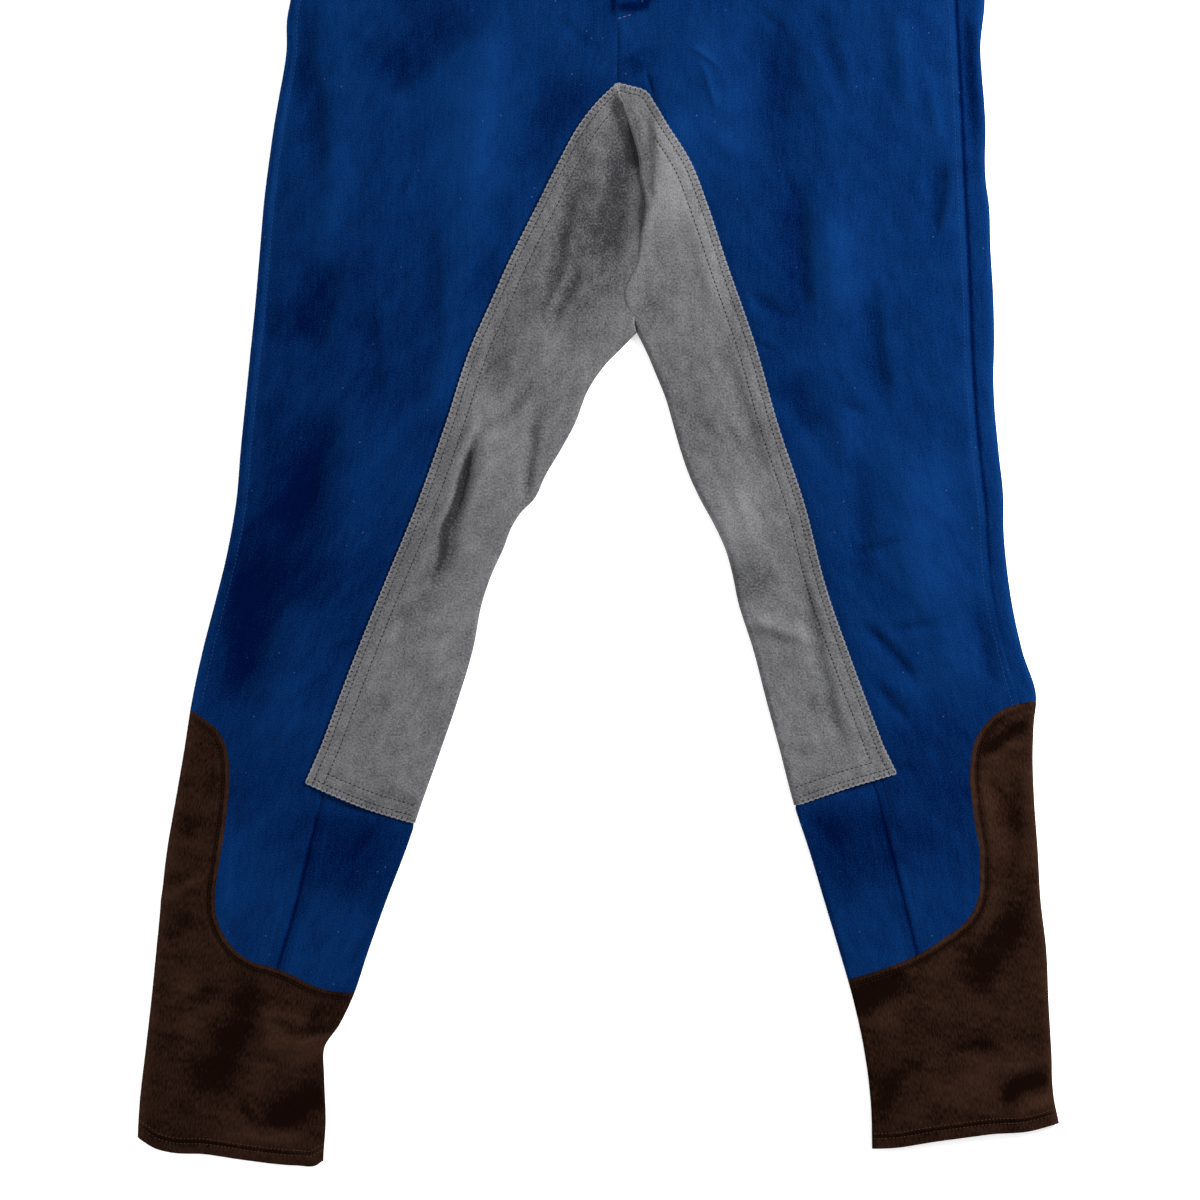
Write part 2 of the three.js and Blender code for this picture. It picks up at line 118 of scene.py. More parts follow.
LEFT_OUTER = [
    (246, 516), (249.5, 476), (260.5, 383), (268, 330), (270, 299), (267, 264), (268, 246.5),
    (269.5, 229), (270.5, 211.5), (270.3, 180), (271, 169), (272.5, 159), (274, 124), (276, 89),
    (276.5, 54), (276, 36.5), (276.5, 19), (279.5, -16), (283, -51), (283, -68.5), (286, -103.5),
    (288.5, -121), (296, -156), (306, -191), (304.5, -205), (303.5, -226), (304.5, -261), (307, -296),
    (309, -331), (313, -366), (314.5, -401), (316.5, -436), (318.5, -471), (322, -488), (322, -525),
]
LEFT_INNER = [
    (26.5, 66), (32.5, 54), (40, 36.5), (47, 19), (52, 1.5), (57, -16), (63, -33.5), (71, -51),
    (80.5, -68.5), (88.5, -86), (93.5, -103.5), (97, -121), (108, -156), (117, -191), (126.5, -226),
    (135.5, -261), (147, -296), (157.5, -331), (168, -366), (178, -401), (185.5, -436), (190, -471),
    (191, -505), (191, -525),
]

# %% Seams of each leg
RIGHT_SUEDE = [
    CROTCH, (-1.5, 225.5), (-12.5, 211.5), (-28, 183.5), (-42, 155.5), (-63, 113.5), (-75.5, 85.5),
    (-88, 57.5), (-106.5, 1.5), (-126.5, -54.5), (-149.5, -110.5), (-172, -166.5), (-193, -222.5),
    (-204.5, -248.5),
]
LEFT_SUEDE = [
    CROTCH, (20.5, 237.5), (33.5, 233), (38.5, 225.5), (46.5, 211.5), (64, 183.5), (75, 155.5),
    (89, 113.5), (108.5, 57.5), (124.5, 1.5), (143, -54.5), (157.5, -110.5), (177, -166.5), (198, -222.5),
    (207.5, -242),
]
RIGHT_FOOT = [(-204.5, -248.5), (-188, -256), (-165, -265.5), (-128.5, -277)]
LEFT_FOOT = [(207.5, -242), (172, -252.5), (137.5, -264.5)]
RIGHT_CALF = [(-193, -258), (-203, -299.5), (-213.5, -342), (-224, -376), (-232, -402)]
LEFT_CALF = [(192, -249), (201.5, -287), (211.5, -325.5), (222, -368), (229, -396)]
RIGHT_OUTSEAM = [(x + OUTSEAM_INSET, y) for x, y in RIGHT_OUTER if y > -205]
LEFT_OUTSEAM = [
    (232, 536), (249.5, 299), (253, 229), (257, 147), (259.5, 96), (262, 35), (266, -16), (270, -52),
    (276, -121), (282.5, -150), (291, -182), (297, -202),
]
RIGHT_CUFF_TOP = [
    (-312, -187), (-285, -198), (-274.5, -205), (-266.5, -211.5), (-261, -221), (-258.5, -231.5),
    (-258, -247.5), (-261, -280), (-264, -300), (-266.5, -315), (-268, -329.5), (-266.5, -343.5),
    (-263, -352.5), (-256, -363), (-244, -372.5), (-229, -377), (-217, -381.5), (-198.5, -390.5),
    (-184.5, -394.5), (-170.5, -395.5), (-140, -396),
]
LEFT_CUFF_TOP = [
    (330, -191), (306.5, -191.5), (295.5, -193), (280, -198.5), (269, -208.5), (262.5, -219.5),
    (260, -231), (259, -245.5), (260.5, -262), (262.5, -278), (265.5, -294), (266, -310), (265.5, -325.5),
    (261, -338.5), (253, -348.5), (243.5, -355), (227.5, -366), (211.5, -373.5), (195.5, -379.5),
    (176, -385.5), (150, -393),
]
RIGHT_HEM = [
    (-335, -486), (-321.5, -497), (-310, -504), (-301, -506.5), (-274.5, -508), (-244, -512.5),
    (-210.5, -516), (-197.5, -516), (-193, -513), (-180, -508),
]
LEFT_HEM = [
    (335, -483), (322, -486.5), (301, -492), (275, -494), (240, -498.5), (203, -504), (190, -504.5),
    (175, -505),
]
BACK_SUEDE = [
    (0, 328), (24, 326), (72, 318), (118, 300), (146, 275), (152, 240), (146, 200), (132, 155),
    (120, 113), (104, 57), (80, -54), (80, -166), (70, -250), (70, -290),
]
BACK_CENTRE = [(CENTRE_X, 540), (CENTRE_X, 476), FORK]
CROTCH_FOLD = [
    (CENTRE_X, 242), (15.5, 225), (22.5, 206), (27, 191), (29.5, 170), (32.3, 155.5), (31, 143),
    (28.8, 130), (26.7, 115), (20.4, 102), (17.3, 93), (18, 87), (20.8, 80.5), (24.6, 72), FORK,
]

# %% [markdown]
# ## Working with lines
# A few small helpers cover almost all of the drafting: a smooth curve through the points of a table, the x
# of a line at a height, the stretch of a line between two places on it, the point where two lines meet,
# and a line moved sideways.

# %% Curves through points
def smooth(points, step=2.0):
    """Evenly spaced points of a curve through the given ones."""
    known = np.array(points, float)
    along = np.concatenate([[0], np.cumsum(np.hypot(*np.diff(known, axis=0).T))])
    slope = np.gradient(known, along, axis=0)
    at = np.linspace(0, along[-1], max(3, int(along[-1] / step) + 1))
    i = np.clip(np.searchsorted(along, at, side="right") - 1, 0, len(along) - 2)
    gap = (along[i + 1] - along[i])[:, None]
    t = (at - along[i])[:, None] / gap
    ends = (2 * t**3 - 3 * t**2 + 1) * known[i] + (3 * t**2 - 2 * t**3) * known[i + 1]
    turns = (t**3 - 2 * t**2 + t) * gap * slope[i] + (t**3 - t**2) * gap * slope[i + 1]
    return ends + turns


def x_at(curve, y):
    """x of a line that runs down the page, at each height y."""
    order = np.argsort(curve[:, 1])
    return np.interp(y, curve[order, 1], curve[order, 0])


def run_of(curve):
    return np.concatenate([[0], np.cumsum(np.hypot(*np.diff(curve, axis=0).T))])


def point_on(curve, near):
    """Distance along the line of the place nearest to a point."""
    start, end = curve[:-1], curve[1:]
    d = end - start
    t = np.clip(((near - start) * d).sum(1) / np.maximum((d * d).sum(1), 1e-9), 0, 1)
    gap = np.hypot(*(start + d * t[:, None] - near).T)
    i = int(gap.argmin())
    along = run_of(curve)
    return along[i] + t[i] * (along[i + 1] - along[i])


def stretch(curve, start, end, step=2.0):
    """Evenly spaced points of the line from the place nearest to start to the one nearest to end."""
    along = run_of(curve)
    a, b = (point_on(curve, np.array(p, float)) for p in (start, end))
    at = np.linspace(a, b, max(2, int(abs(b - a) / step) + 2))
    return np.stack([np.interp(at, along, curve[:, k]) for k in (0, 1)], 1)


def meeting(one, other):
    """The point where two lines cross, or come nearest to each other."""
    gap = np.hypot(*(one[:, None] - other[None]).transpose(2, 0, 1))
    i, j = np.unravel_index(gap.argmin(), gap.shape)
    return (one[i] + other[j]) / 2


def shifted(curve, distance):
    """The line moved sideways, to the left of its direction where the distance is positive."""
    d = np.gradient(curve, axis=0)
    d /= np.maximum(np.hypot(*d.T), 1e-9)[:, None]
    return curve + distance * np.stack([-d[:, 1], d[:, 0]], 1)


def ramp(value, low, high):
    t = np.clip((value - low) / (high - low), 0, 1)
    return t * t * (3 - 2 * t)


# %% [markdown]
# ## Two halves
# Both legs are drafted in the same way. Measured outwards from the middle of the page, the wearer's right
# leg and left leg become the same shape, so a half keeps its sign and turns page x into the distance
# outwards.

# %% One half of the breeches
class Half:
    def __init__(self, name, sign, outer, inner, suede, foot, calf, outseam, cuff_top, hem):
        self.name = name
        self.sign = sign
        self.outer_line = smooth(outer)
        self.inner_line = smooth(inner)
        self.suede = np.vstack([smooth(suede[:-1], 1.0), suede[-1:]])
        self.foot = smooth(foot, 1.0)
        self.calf = smooth(calf)
        self.outseam = smooth(outseam)
        self.cuff_top = smooth(cuff_top)
        self.hem = smooth(hem)

    def outer(self, y):
        """Outer edge of the blue cloth, outwards."""
        return self.sign * x_at(self.outer_line, y)

    def inner(self, y, layer):
        """Inner edge of the blue cloth: above the fork it is the crotch fold, or far away."""
        covered = ramp(y, self.foot[-1, 1] - 3, self.foot[-1, 1] + 1)
        leg = self.sign * x_at(self.inner_line, y) + SUEDE_STEP * covered
        fork = self.sign * FORK[0] + SUEDE_STEP
        away = fork - FLARE * np.clip(y - FORK[1], 0, FLARE_REACH)
        if self.sign > 0 and layer > 0:
            away = x_at(crotch_fold, y) + SUEDE_STEP - FLARE * np.clip(y - FOLD_TOP, 0, FLARE_REACH)
        return np.where(y > FORK[1], away, leg)


crotch_fold = smooth(CROTCH_FOLD, 1.0)
RIGHT = Half(
    "right", -1, RIGHT_OUTER, RIGHT_INNER, RIGHT_SUEDE, RIGHT_FOOT, RIGHT_CALF, RIGHT_OUTSEAM, RIGHT_CUFF_TOP,
    RIGHT_HEM,
)
LEFT = Half(
    "left", 1, LEFT_OUTER, LEFT_INNER, LEFT_SUEDE, LEFT_FOOT, LEFT_CALF, LEFT_OUTSEAM, LEFT_CUFF_TOP,
    LEFT_HEM,
)
HALVES = (RIGHT, LEFT)
back_suede = smooth(BACK_SUEDE)
back_centre = np.array(BACK_CENTRE, float)

# %% [markdown]
# ## Folds
# Cloth that was pulled straight by hand keeps soft troughs and ridges that are never alike. They could
# come from a simulation, but then they would fall anywhere. Here each fold is placed one by one: a path down
# the page, how far it reaches on each side of that path, and how high it stands or, with a minus, how deep
# it lies. A short reach on one side and a long one on the other makes a crease. The reach named near is on
# the side of smaller x of a path that runs down the page.

# %% Folds of the front layer
Fold = namedtuple("Fold", "place path near far height")

RIGHT_FOLDS = [
    Fold("hip, over the thigh", [(-90, 302), (-111, 274), (-139, 251), (-159, 229)], 31, 15, -2.2),
    Fold(
        "thigh, long ridge",
        [(-66, 299), (-75, 257), (-81, 215), (-89, 159), (-93, 124), (-97, 68)],
        21, 13, 1.4,
    ),
    Fold("outer thigh pocket", [(-185, 118), (-197, 82), (-204, 46)], 18, 10, -2.1),
    Fold("outer hip", [(-204, 302), (-206, 257), (-197, 218), (-199, 166)], 14, 8, -1.4),
    Fold("outer hip, lower", [(-188, 215), (-184, 166), (-194, 131), (-201, 109)], 10, 10, 1.1),
    Fold("mid thigh line", [(-159, 89), (-157, 54), (-152, 2)], 13, 4.2, -0.9),
    Fold("thigh line", [(-116, 159), (-115, 110), (-113, 58)], 10, 4.2, -0.6),
    Fold("above the knee", [(-182, 20), (-201, -29), (-210, -59), (-230, -86)], 17, 9, -1.8),
    Fold("knee hollow", [(-251, -82), (-251, -149), (-258, -208)], 13, 29, -2.4),
    Fold("knee ridge", [(-206, -96), (-215, -149), (-227, -205), (-236, -244)], 21, 24, 1.7),
    Fold("knee, inner ridge", [(-157, 30), (-173, -37), (-187, -93), (-195, -138)], 15, 28, 1.2),
    Fold("knee nick", [(-169, -148), (-192, -160)], 2.8, 2.8, -0.5),
    Fold("outer thigh dimple", [(-232, 90), (-228, 55)], 7, 10, -0.9),
    Fold("beside the suede", [(-23, 260), (-38, 208), (-55, 166)], 14, 10, -0.9),
    Fold("thigh, inner ridge", [(-103, 114), (-107, 54), (-122, -2)], 8, 14, 0.8),
    Fold("beside the suede, lower", [(-78, 131), (-86, 81)], 7, 8, -0.7),
    Fold("calf", [(-261, -272), (-263, -317), (-260, -356)], 6, 15, 0.9),
    Fold("calf, inner", [(-134, -271), (-185, -304)], 6, 6, -0.8),
    Fold("belly", [(-30, 289), (-17, 274), (2, 263)], 4.2, 4.2, -0.6),
    Fold("suede, upper ridge", [(-3, 204), (1, 176), (-2, 148)], 8, 6, 1.3),
    Fold("suede crease a", [(-15, 173), (-20, 151), (-24, 136), (-30, 108), (-39, 86)], 6, 3.5, -1.5),
    Fold("suede crease b", [(10, 160), (-2, 136), (-8, 127)], 4.2, 2.8, -1.1),
    Fold("suede crease c", [(-11, 113), (-24, 88), (-36, 65)], 3.5, 3.5, -1.3),
    Fold("suede ridge between", [(-19, 111), (-32, 88), (-39, 74)], 2.8, 2.8, 0.9),
    Fold("suede, outer ridge", [(-15, 204), (-33, 159), (-48, 125)], 8, 7, 0.9),
    Fold("suede hollow", [(-52, 100), (-71, 54), (-78, 13)], 11, 9, -1.6),
    Fold("suede tail", [(-45, 32), (-59, 15), (-72, 1), (-86, -7)], 3.5, 4.2, -1.1),
    Fold(
        "suede deep crease",
        [(-85, -2), (-90, -14), (-96, -34), (-101, -52), (-108, -72), (-111, -96), (-116, -105), (-118, -117)],
        1.8, 7, -2.8,
    ),
    Fold("suede lip", [(-85, 30), (-87, 5), (-93, -16), (-103, -48), (-113, -82)], 8, 2.8, 1),
    Fold("suede facet", [(-65, 11), (-77, -16), (-85, -44), (-93, -79)], 10, 29, 1.2),
    Fold("suede crease d", [(-43, 18), (-47, -15), (-50, -36), (-50, -45), (-55, -62)], 3.5, 3.5, -1.5),
    Fold("suede, below the crease", [(-116, -114), (-127, -128), (-145, -135)], 6, 6, -0.9),
    Fold("suede, lower ridge", [(-118, -146), (-110, -185)], 8, 11, 0.7),
    Fold("suede foot", [(-148, -248), (-114, -263)], 4.2, 4.2, 0.5),
    Fold("crotch hollow", [(19, 216), (13, 173), (8, 138), (2, 103)], 13, 11, -2.4),
    Fold("cuff, upper ridge", [(-275, -313), (-293, -325), (-313, -338)], 4.9, 4.9, 2.3),
    Fold("cuff, above the ridge", [(-274, -307), (-304, -320)], 3.5, 3.5, -1),
    Fold("cuff, below the ridge", [(-285, -338), (-305, -361)], 4.9, 4.9, -1.3),
    Fold("cuff, outer hollow", [(-260, -388), (-306, -416)], 6, 6, -1.3),
    Fold("cuff, long hollow", [(-236, -377), (-255, -422), (-268, -454), (-292, -471)], 13, 12, -2.9),
    Fold("cuff, facet", [(-232, -401), (-228, -444)], 10, 29, 2.6),
    Fold("cuff, tuck", [(-187, -463), (-209, -475), (-236, -486)], 11, 10, -4.2),
    Fold("cuff, nick", [(-253, -469), (-240, -491)], 3.5, 2.8, -1),
    Fold("cuff, under the seam", [(-174, -398), (-195, -408), (-204, -428)], 6, 6, -2.2),
]
LEFT_FOLDS = [
    Fold("hip nick", [(108, 294), (131, 275)], 3.5, 3.5, -0.7),
    Fold("hip hollow", [(121, 286), (125, 243), (131, 202)], 21, 15, -1.8),
    Fold("thigh line", [(136, 184), (140, 131), (143, 89), (147, 58)], 14, 6, -1.4),
    Fold("thigh ridge", [(160, 162), (163, 117), (165, 72)], 10, 15, 1.4),
    Fold("hip line", [(151, 298), (162, 264), (172, 226)], 8, 4.9, -1),
    Fold("outer hip ridge", [(209, 302), (212, 257), (218, 215)], 8, 8, 1.2),
    Fold("outer hip ridge, lower", [(225, 260), (233, 222), (239, 191)], 4.2, 7, 0.9),
    Fold("beside the outseam", [(241, 190), (238, 159), (233, 131)], 9, 3.5, -1.8),
    Fold("outer thigh crease", [(191, 103), (192, 68), (195, 47), (202, 5)], 11, 6, -1.6),
    Fold("inner thigh crease", [(104, 94), (120, 83), (137, 75)], 4.2, 4.2, -0.9),
    Fold("inner thigh nick", [(110, 58), (125, 52)], 2.8, 2.8, -0.6),
    Fold("knee, above", [(132, 40), (141, 12), (150, -12)], 14, 11, -1.5),
    Fold("knee nick", [(166, 18), (188, 8)], 3.5, 3.5, -0.7),
    Fold("knee, small ridge", [(169, 11), (174, -33)], 6, 8, 0.8),
    Fold("knee, long ridge", [(214, -6), (219, -65), (226, -114), (237, -152)], 15, 25, 1.9),
    Fold("knee line", [(183, -12), (185, -72), (183, -124)], 10, 6, -1),
    Fold("knee, cross crease", [(176, -88), (193, -85), (212, -78)], 3.5, 3.5, -0.8),
    Fold("calf crease", [(180, -135), (195, -148), (212, -166), (223, -183)], 3.5, 3.5, -1.3),
    Fold("calf crease, lower", [(190, -179), (204, -191), (216, -208)], 3.5, 3.5, -1),
    Fold("calf, cross crease", [(200, -143), (242, -137)], 3.5, 3.5, -0.7),
    Fold("calf ridge", [(237, -132), (246, -187)], 10, 18, 1.3),
    Fold("outer calf", [(261, -118), (270, -156), (277, -191)], 6, 7, -1.1),
    Fold("above the cuff", [(207, -242), (220, -236)], 3.5, 3.5, -0.6),
    Fold("dart", [(33, 249), (35.5, 240), (38, 231)], 1.4, 1.4, -0.6),
    Fold("belly cross crease", [(15, 258), (27, 257), (37, 254)], 1.8, 1.8, 0.4),
    Fold("belly ridge", [(62, 266), (75, 258), (87, 248)], 2.1, 2.8, 0.6),
    Fold("belly ridge, lower", [(71, 258), (76, 240), (83, 219)], 2.1, 2.8, 0.6),
    Fold("thigh, upper ridge", [(78, 207), (100, 186)], 6, 6, 0.7),
    Fold(
        "beyond the outseam",
        [(255, 302), (257, 257), (260, 222), (263, 187), (265, 159)],
        4.2, 6, -1.4,
    ),
    Fold("calf, inner", [(136, -269), (177, -297)], 10, 10, -1),
    Fold("crotch crest", [(36, 228), (40, 208), (41, 176), (38, 150), (33, 128)], 4.2, 24, 2.2),
    Fold(
        "crotch edge",
        [(15, 232), (24, 208), (28, 191), (30, 165), (31, 143), (26, 118), (19, 98), (20, 80), (27, 58)],
        5, 6, 1.3,
    ),
    Fold("suede, along the seam", [(62, 159), (74, 117), (87, 71)], 7, 8, 0.9),
    Fold("suede patch", [(55, 26), (72, -13)], 11, 11, -1),
    Fold("suede line", [(85, 61), (102, 12), (119, -41)], 6, 4.2, -1),
    Fold("suede cross ridge", [(64, -74), (116, -65)], 24, 29, 2),
    Fold("suede crease ridge", [(102, -134), (120, -140), (145, -149)], 4.2, 9, 1.4),
    Fold("suede long line", [(138, -90), (149, -135), (160, -184), (176, -244)], 6, 3.5, -1.1),
    Fold("suede foot", [(135, -224), (172, -214)], 6, 6, 0.6),
    Fold("cuff, top crease", [(305, -204), (281, -219), (263, -232)], 3.5, 3.5, -1.7),
    Fold("cuff, top ridge", [(298, -217), (270, -239)], 4.9, 6, 1),
    Fold("cuff, upper dimple", [(270, -244), (287, -267)], 4.2, 4.2, -1.1),
    Fold("cuff, upright line", [(291, -236), (290, -326)], 6, 4.2, -1.3),
    Fold("cuff, upright ridge", [(270, -250), (272, -314)], 7, 8, 1.1),
    Fold("cuff, long hollow", [(299, -320), (279, -353), (263, -380), (247, -402)], 10, 10, -2.9),
    Fold("cuff, under the seam", [(219, -387), (197, -397), (174, -407)], 9, 8, -3.4),
    Fold("cuff, cross hollow", [(239, -437), (260, -435), (281, -431)], 4.2, 4.2, -1.5),
    Fold("cuff, lower tuck", [(320, -453), (293, -461), (279, -477)], 6, 6, -2.8),
    Fold("cuff, lower ridge", [(317, -470), (283, -484)], 6, 6, 1.1),
    Fold("cuff, inner hollow", [(212, -443), (187, -481)], 8, 8, -1.1),
    Fold("cuff nick", [(244, -364), (267, -368)], 3.5, 3.5, -0.9),
]
FOLDS = {-1: RIGHT_FOLDS, 1: LEFT_FOLDS}


# %% [markdown]
# The back rests on the table, so its few creases only rise from it. They are as uneven as those in front.

# %% Creases of the back layer
BACK_FOLDS = {
    -1: [
        Fold("seat crease", [(-30, 255), (-72, 232), (-104, 190)], 12, 7, 1.3),
        Fold("seat crease, lower", [(-22, 205), (-70, 180), (-98, 132)], 10, 6, 1.1),
        Fold("thigh crease", [(-150, 150), (-146, 60), (-160, -20)], 14, 9, 1.2),
        Fold("knee crease", [(-120, -95), (-165, -112), (-212, -108)], 9, 7, 1.4),
        Fold("knee crease, lower", [(-138, -138), (-182, -150), (-230, -140)], 10, 6, 1.1),
        Fold("calf crease", [(-236, -190), (-228, -262), (-240, -330)], 10, 7, 1.0),
        Fold("hip crease", [(-120, 440), (-132, 380), (-118, 318)], 14, 10, 1.2),
        Fold("cuff crease", [(-215, -420), (-262, -446), (-300, -440)], 8, 6, 1.3),
    ],
    1: [
        Fold("seat crease", [(58, 262), (96, 236), (124, 196)], 7, 12, 1.4),
        Fold("seat crease, lower", [(50, 190), (88, 168), (112, 118)], 6, 10, 1.0),
        Fold("thigh crease", [(188, 170), (180, 90), (196, 12)], 9, 14, 1.2),
        Fold("knee crease", [(128, -88), (178, -108), (232, -98)], 8, 7, 1.3),
        Fold("knee crease, lower", [(140, -132), (190, -142), (246, -128)], 9, 6, 1.2),
        Fold("calf crease", [(232, -200), (224, -270), (238, -326)], 8, 9, 1.0),
        Fold("hip crease", [(150, 448), (164, 392), (156, 330)], 12, 9, 1.1),
        Fold("cuff crease", [(214, -415), (262, -440), (302, -432)], 8, 6, 1.2),
    ],
}

# %% [markdown]
# ## Painted shade and light, not folds
# Soft darker and lighter patches are painted into the colour: painted shade in hollows, creases and tucks,
# under raised edges and beside the fly and the outseam, painted light on facets and ridges, and broad
# darker and lighter areas over the legs. They are noted like the folds, and their last value is how much
# lighter or darker they are.

# %% Soft painted shade and light
SHADES = {
    "suede_cloth": {
        -1: [
            Fold("upper leg, darker", [(4, 232), (-8, 165), (-22, 110), (-45, 50)], 26, 26, -1.0),
            Fold("beside the crotch, darker", [(12, 205), (10, 120), (6, 75)], 16, 20, -0.45),
            Fold(
                "under the fold top, dark",
                [(11, 236), (14, 224), (20, 209), (25, 194), (28, 178)], 5, 4, -4.5,
            ),
            Fold("outer edge, darker", [(-100, -5), (-122, -70), (-150, -130)], 12, 14, -0.35),
            Fold("knee, lighter", [(-75, -60), (-100, -120)], 20, 20, 0.15),
            Fold(
                "knee crease, dark",
                [(-85, -7), (-92, -27), (-101, -58), (-108, -72), (-110, -90), (-117, -108)], 2.2, 2.2, -4.5,
            ),
            Fold("lower leg, lighter", [(-165, -165), (-125, -190)], 22, 26, 0.25),
        ],
        1: [
            Fold(
                "between edge and crest, in shade",
                [(17, 236), (26, 212), (33, 180), (34, 150), (31, 134)], 4, 4, -1.2,
            ),
            Fold("upper leg, lighter", [(50, 205), (60, 150), (88, 70)], 14, 18, 0.45),
            Fold("above the fork, darker", [(30, 95), (52, 66)], 14, 14, -0.4),
            Fold("knee, darker", [(92, -95), (108, -125)], 24, 18, -0.75),
            Fold("thigh, darker", [(68, 20), (80, -20)], 20, 16, -0.3),
            Fold("lower leg, lighter", [(120, -160), (140, -200)], 16, 18, 0.1),
        ],
    },
    "drill_cloth": {
        -1: [
            Fold("thigh, inner, lighter", [(-75, 295), (-80, 230), (-95, 140)], 26, 22, 0.35),
            Fold("hip, lighter", [(-150, 300), (-165, 270)], 40, 30, 0.3),
            Fold("knee, dark", [(-200, 20), (-215, -60), (-225, -140)], 60, 50, -0.5),
            Fold("beside the crotch, dark", [(10, 240), (-14, 226), (-36, 190)], 14, 12, -0.7),
            Fold("whole leg, in less light", [(-130, 200), (-190, 0), (-230, -220)], 90, 90, -0.6),
            Fold("lower leg, dark", [(-200, -20), (-225, -200), (-205, -330)], 60, 60, -0.55),
            Fold("calf, dark", [(-160, -265), (-182, -340)], 40, 40, -1.0),
            Fold("beside the fly, dark", [(10.6, 306), (10.6, 286)], 2.6, 1.6, -2.2),
        ],
        1: [
            Fold("belly, lighter", [(72, 300), (88, 240), (100, 180)], 30, 26, 0.5),
            Fold("below the fly, dark", [(20, 262), (30, 244)], 13, 13, -0.9),
            Fold(
                "behind the fly row, dark",
                [(8, 293), (20, 293), (30, 294), (34, 297), (37, 306)], 3.5, 3.5, -2.4,
            ),
            Fold("thigh, middle, dark", [(122, 250), (132, 150), (140, 30)], 20, 16, -0.45),
            Fold("thigh, outer, lighter", [(160, 150), (166, 60)], 16, 22, 0.35),
            Fold("lower leg, dark", [(225, -180), (235, -240), (215, -330)], 60, 50, -0.8),
            Fold("calf, dark", [(150, -265), (190, -335)], 34, 34, -0.8),
            Fold("side strip, in shade", [(257, 305), (261, 245), (266, 195)], 5, 6, -0.9),
        ],
    },
    "jersey_cloth": {
        -1: [
            Fold("under the curve, dark", [(-268, -236), (-272, -262)], 6, 6, -0.7),
            Fold("upper cuff, dark streak", [(-276, -268), (-290, -289)], 5, 5, -0.9),
            Fold("upper cuff, light", [(-280, -368), (-288, -404), (-284, -436)], 12, 10, 0.7),
            Fold("V crease, dark", [(-233, -408), (-206, -423), (-191, -421), (-176, -402)], 4, 4, -1.6),
            Fold("light facet", [(-230, -421), (-214, -438), (-196, -432), (-182, -418)], 8, 8, 2.0),
            Fold("long hollow, dark", [(-237, -385), (-252, -428), (-282, -468)], 7, 7, -0.45),
            Fold("tuck, dark", [(-192, -460), (-212, -477), (-240, -488)], 7, 5, -1.3),
            Fold("above the hem, light", [(-279, -489), (-232, -496), (-194, -493)], 5, 4, 1.1),
            Fold("above the tuck, light", [(-246, -440), (-232, -462)], 9, 9, 0.6),
        ],
        1: [
            Fold("top crease, dark", [(302, -205), (281, -219), (264, -231)], 3, 3, -1.0),
            Fold("upper cuff, light", [(293, -228), (268, -248), (276, -300)], 10, 12, 0.9),
            Fold("beside the curve, light", [(278, -320), (268, -350), (256, -362)], 8, 8, 0.7),
            Fold("long hollow, dark", [(302, -325), (284, -366), (256, -401)], 7, 7, -1.0),
            Fold("corner, dark", [(214, -384), (184, -398), (178, -412)], 8, 6, -1.2),
            Fold("inner band, light", [(212, -398), (190, -424)], 7, 7, 0.8),
            Fold("inner hollow, dark", [(236, -438), (208, -455), (199, -480), (192, -498)], 7, 7, -1.2),
            Fold("lower cuff, light", [(230, -474), (270, -450), (312, -442)], 10, 10, 0.9),
            Fold("lower tuck, dark", [(318, -453), (292, -462), (280, -474)], 5, 5, -1.4),
            Fold("above the hem, light", [(300, -476), (318, -468)], 5, 5, 1.0),
        ],
    },
}

# %% [markdown]
# ## Height of a fold
# The nearest place on the path gives the distance and the side. A bell curve across the path and a taper
# at both ends give the fold its shape. The box round the path is tested first, so a fold costs little for
# cloth far away.

# %% Heights
BELL_REACH = 2.6
TAPER = 0.3
TAPER_START = -0.02


def fold_heights(folds, x, y):
    total = np.zeros_like(x)
    for fold in folds:
        path = smooth(fold.path, 6.0) if len(fold.path) > 2 else np.array(fold.path, float)
        reach = BELL_REACH * max(fold.near, fold.far)
        low, high = path.min(0) - reach, path.max(0) + reach
        close = (x > low[0]) & (x < high[0]) & (y > low[1]) & (y < high[1])
        if not close.any():
            continue
        px, py = x[close], y[close]
        along = run_of(path)
        best = np.full(px.shape, np.inf)
        side, place = np.zeros_like(px), np.zeros_like(px)
        for i in range(len(path) - 1):
            dx, dy = path[i + 1] - path[i]
            t = np.clip(((px - path[i, 0]) * dx + (py - path[i, 1]) * dy) / (dx * dx + dy * dy), 0, 1)
            ox, oy = px - path[i, 0] - t * dx, py - path[i, 1] - t * dy
            gap = ox * ox + oy * oy
            nearer = gap < best
            best = np.where(nearer, gap, best)
            side = np.where(nearer, dx * (py - path[i, 1]) - dy * (px - path[i, 0]), side)
            place = np.where(nearer, (along[i] + t * (along[i + 1] - along[i])) / along[-1], place)
        width = np.where(side > 0, fold.far, fold.near)
        ends = ramp(place, TAPER_START, TAPER) * ramp(1 - place, TAPER_START, TAPER)
        total[close] += fold.height * ends * np.exp(-best / width**2)
    return total


NOISE_CELLS = 67


def wander(x, y, size_x, size_y, seed):
    """Smooth seeded noise from -1 to 1, with waves of about the given sizes."""
    table = np.random.default_rng(seed).uniform(-1, 1, (NOISE_CELLS, NOISE_CELLS))
    gx, gy = x / size_x, y / size_y
    ix, iy = np.floor(gx).astype(int), np.floor(gy).astype(int)
    fx, fy = ramp(gx - ix, 0, 1), ramp(gy - iy, 0, 1)

    def at(i, j):
        return table[(ix + i) % NOISE_CELLS, (iy + j) % NOISE_CELLS]

    low = at(0, 0) * (1 - fx) + at(1, 0) * fx
    high = at(0, 1) * (1 - fx) + at(1, 1) * fx
    return low * (1 - fy) + high * fy


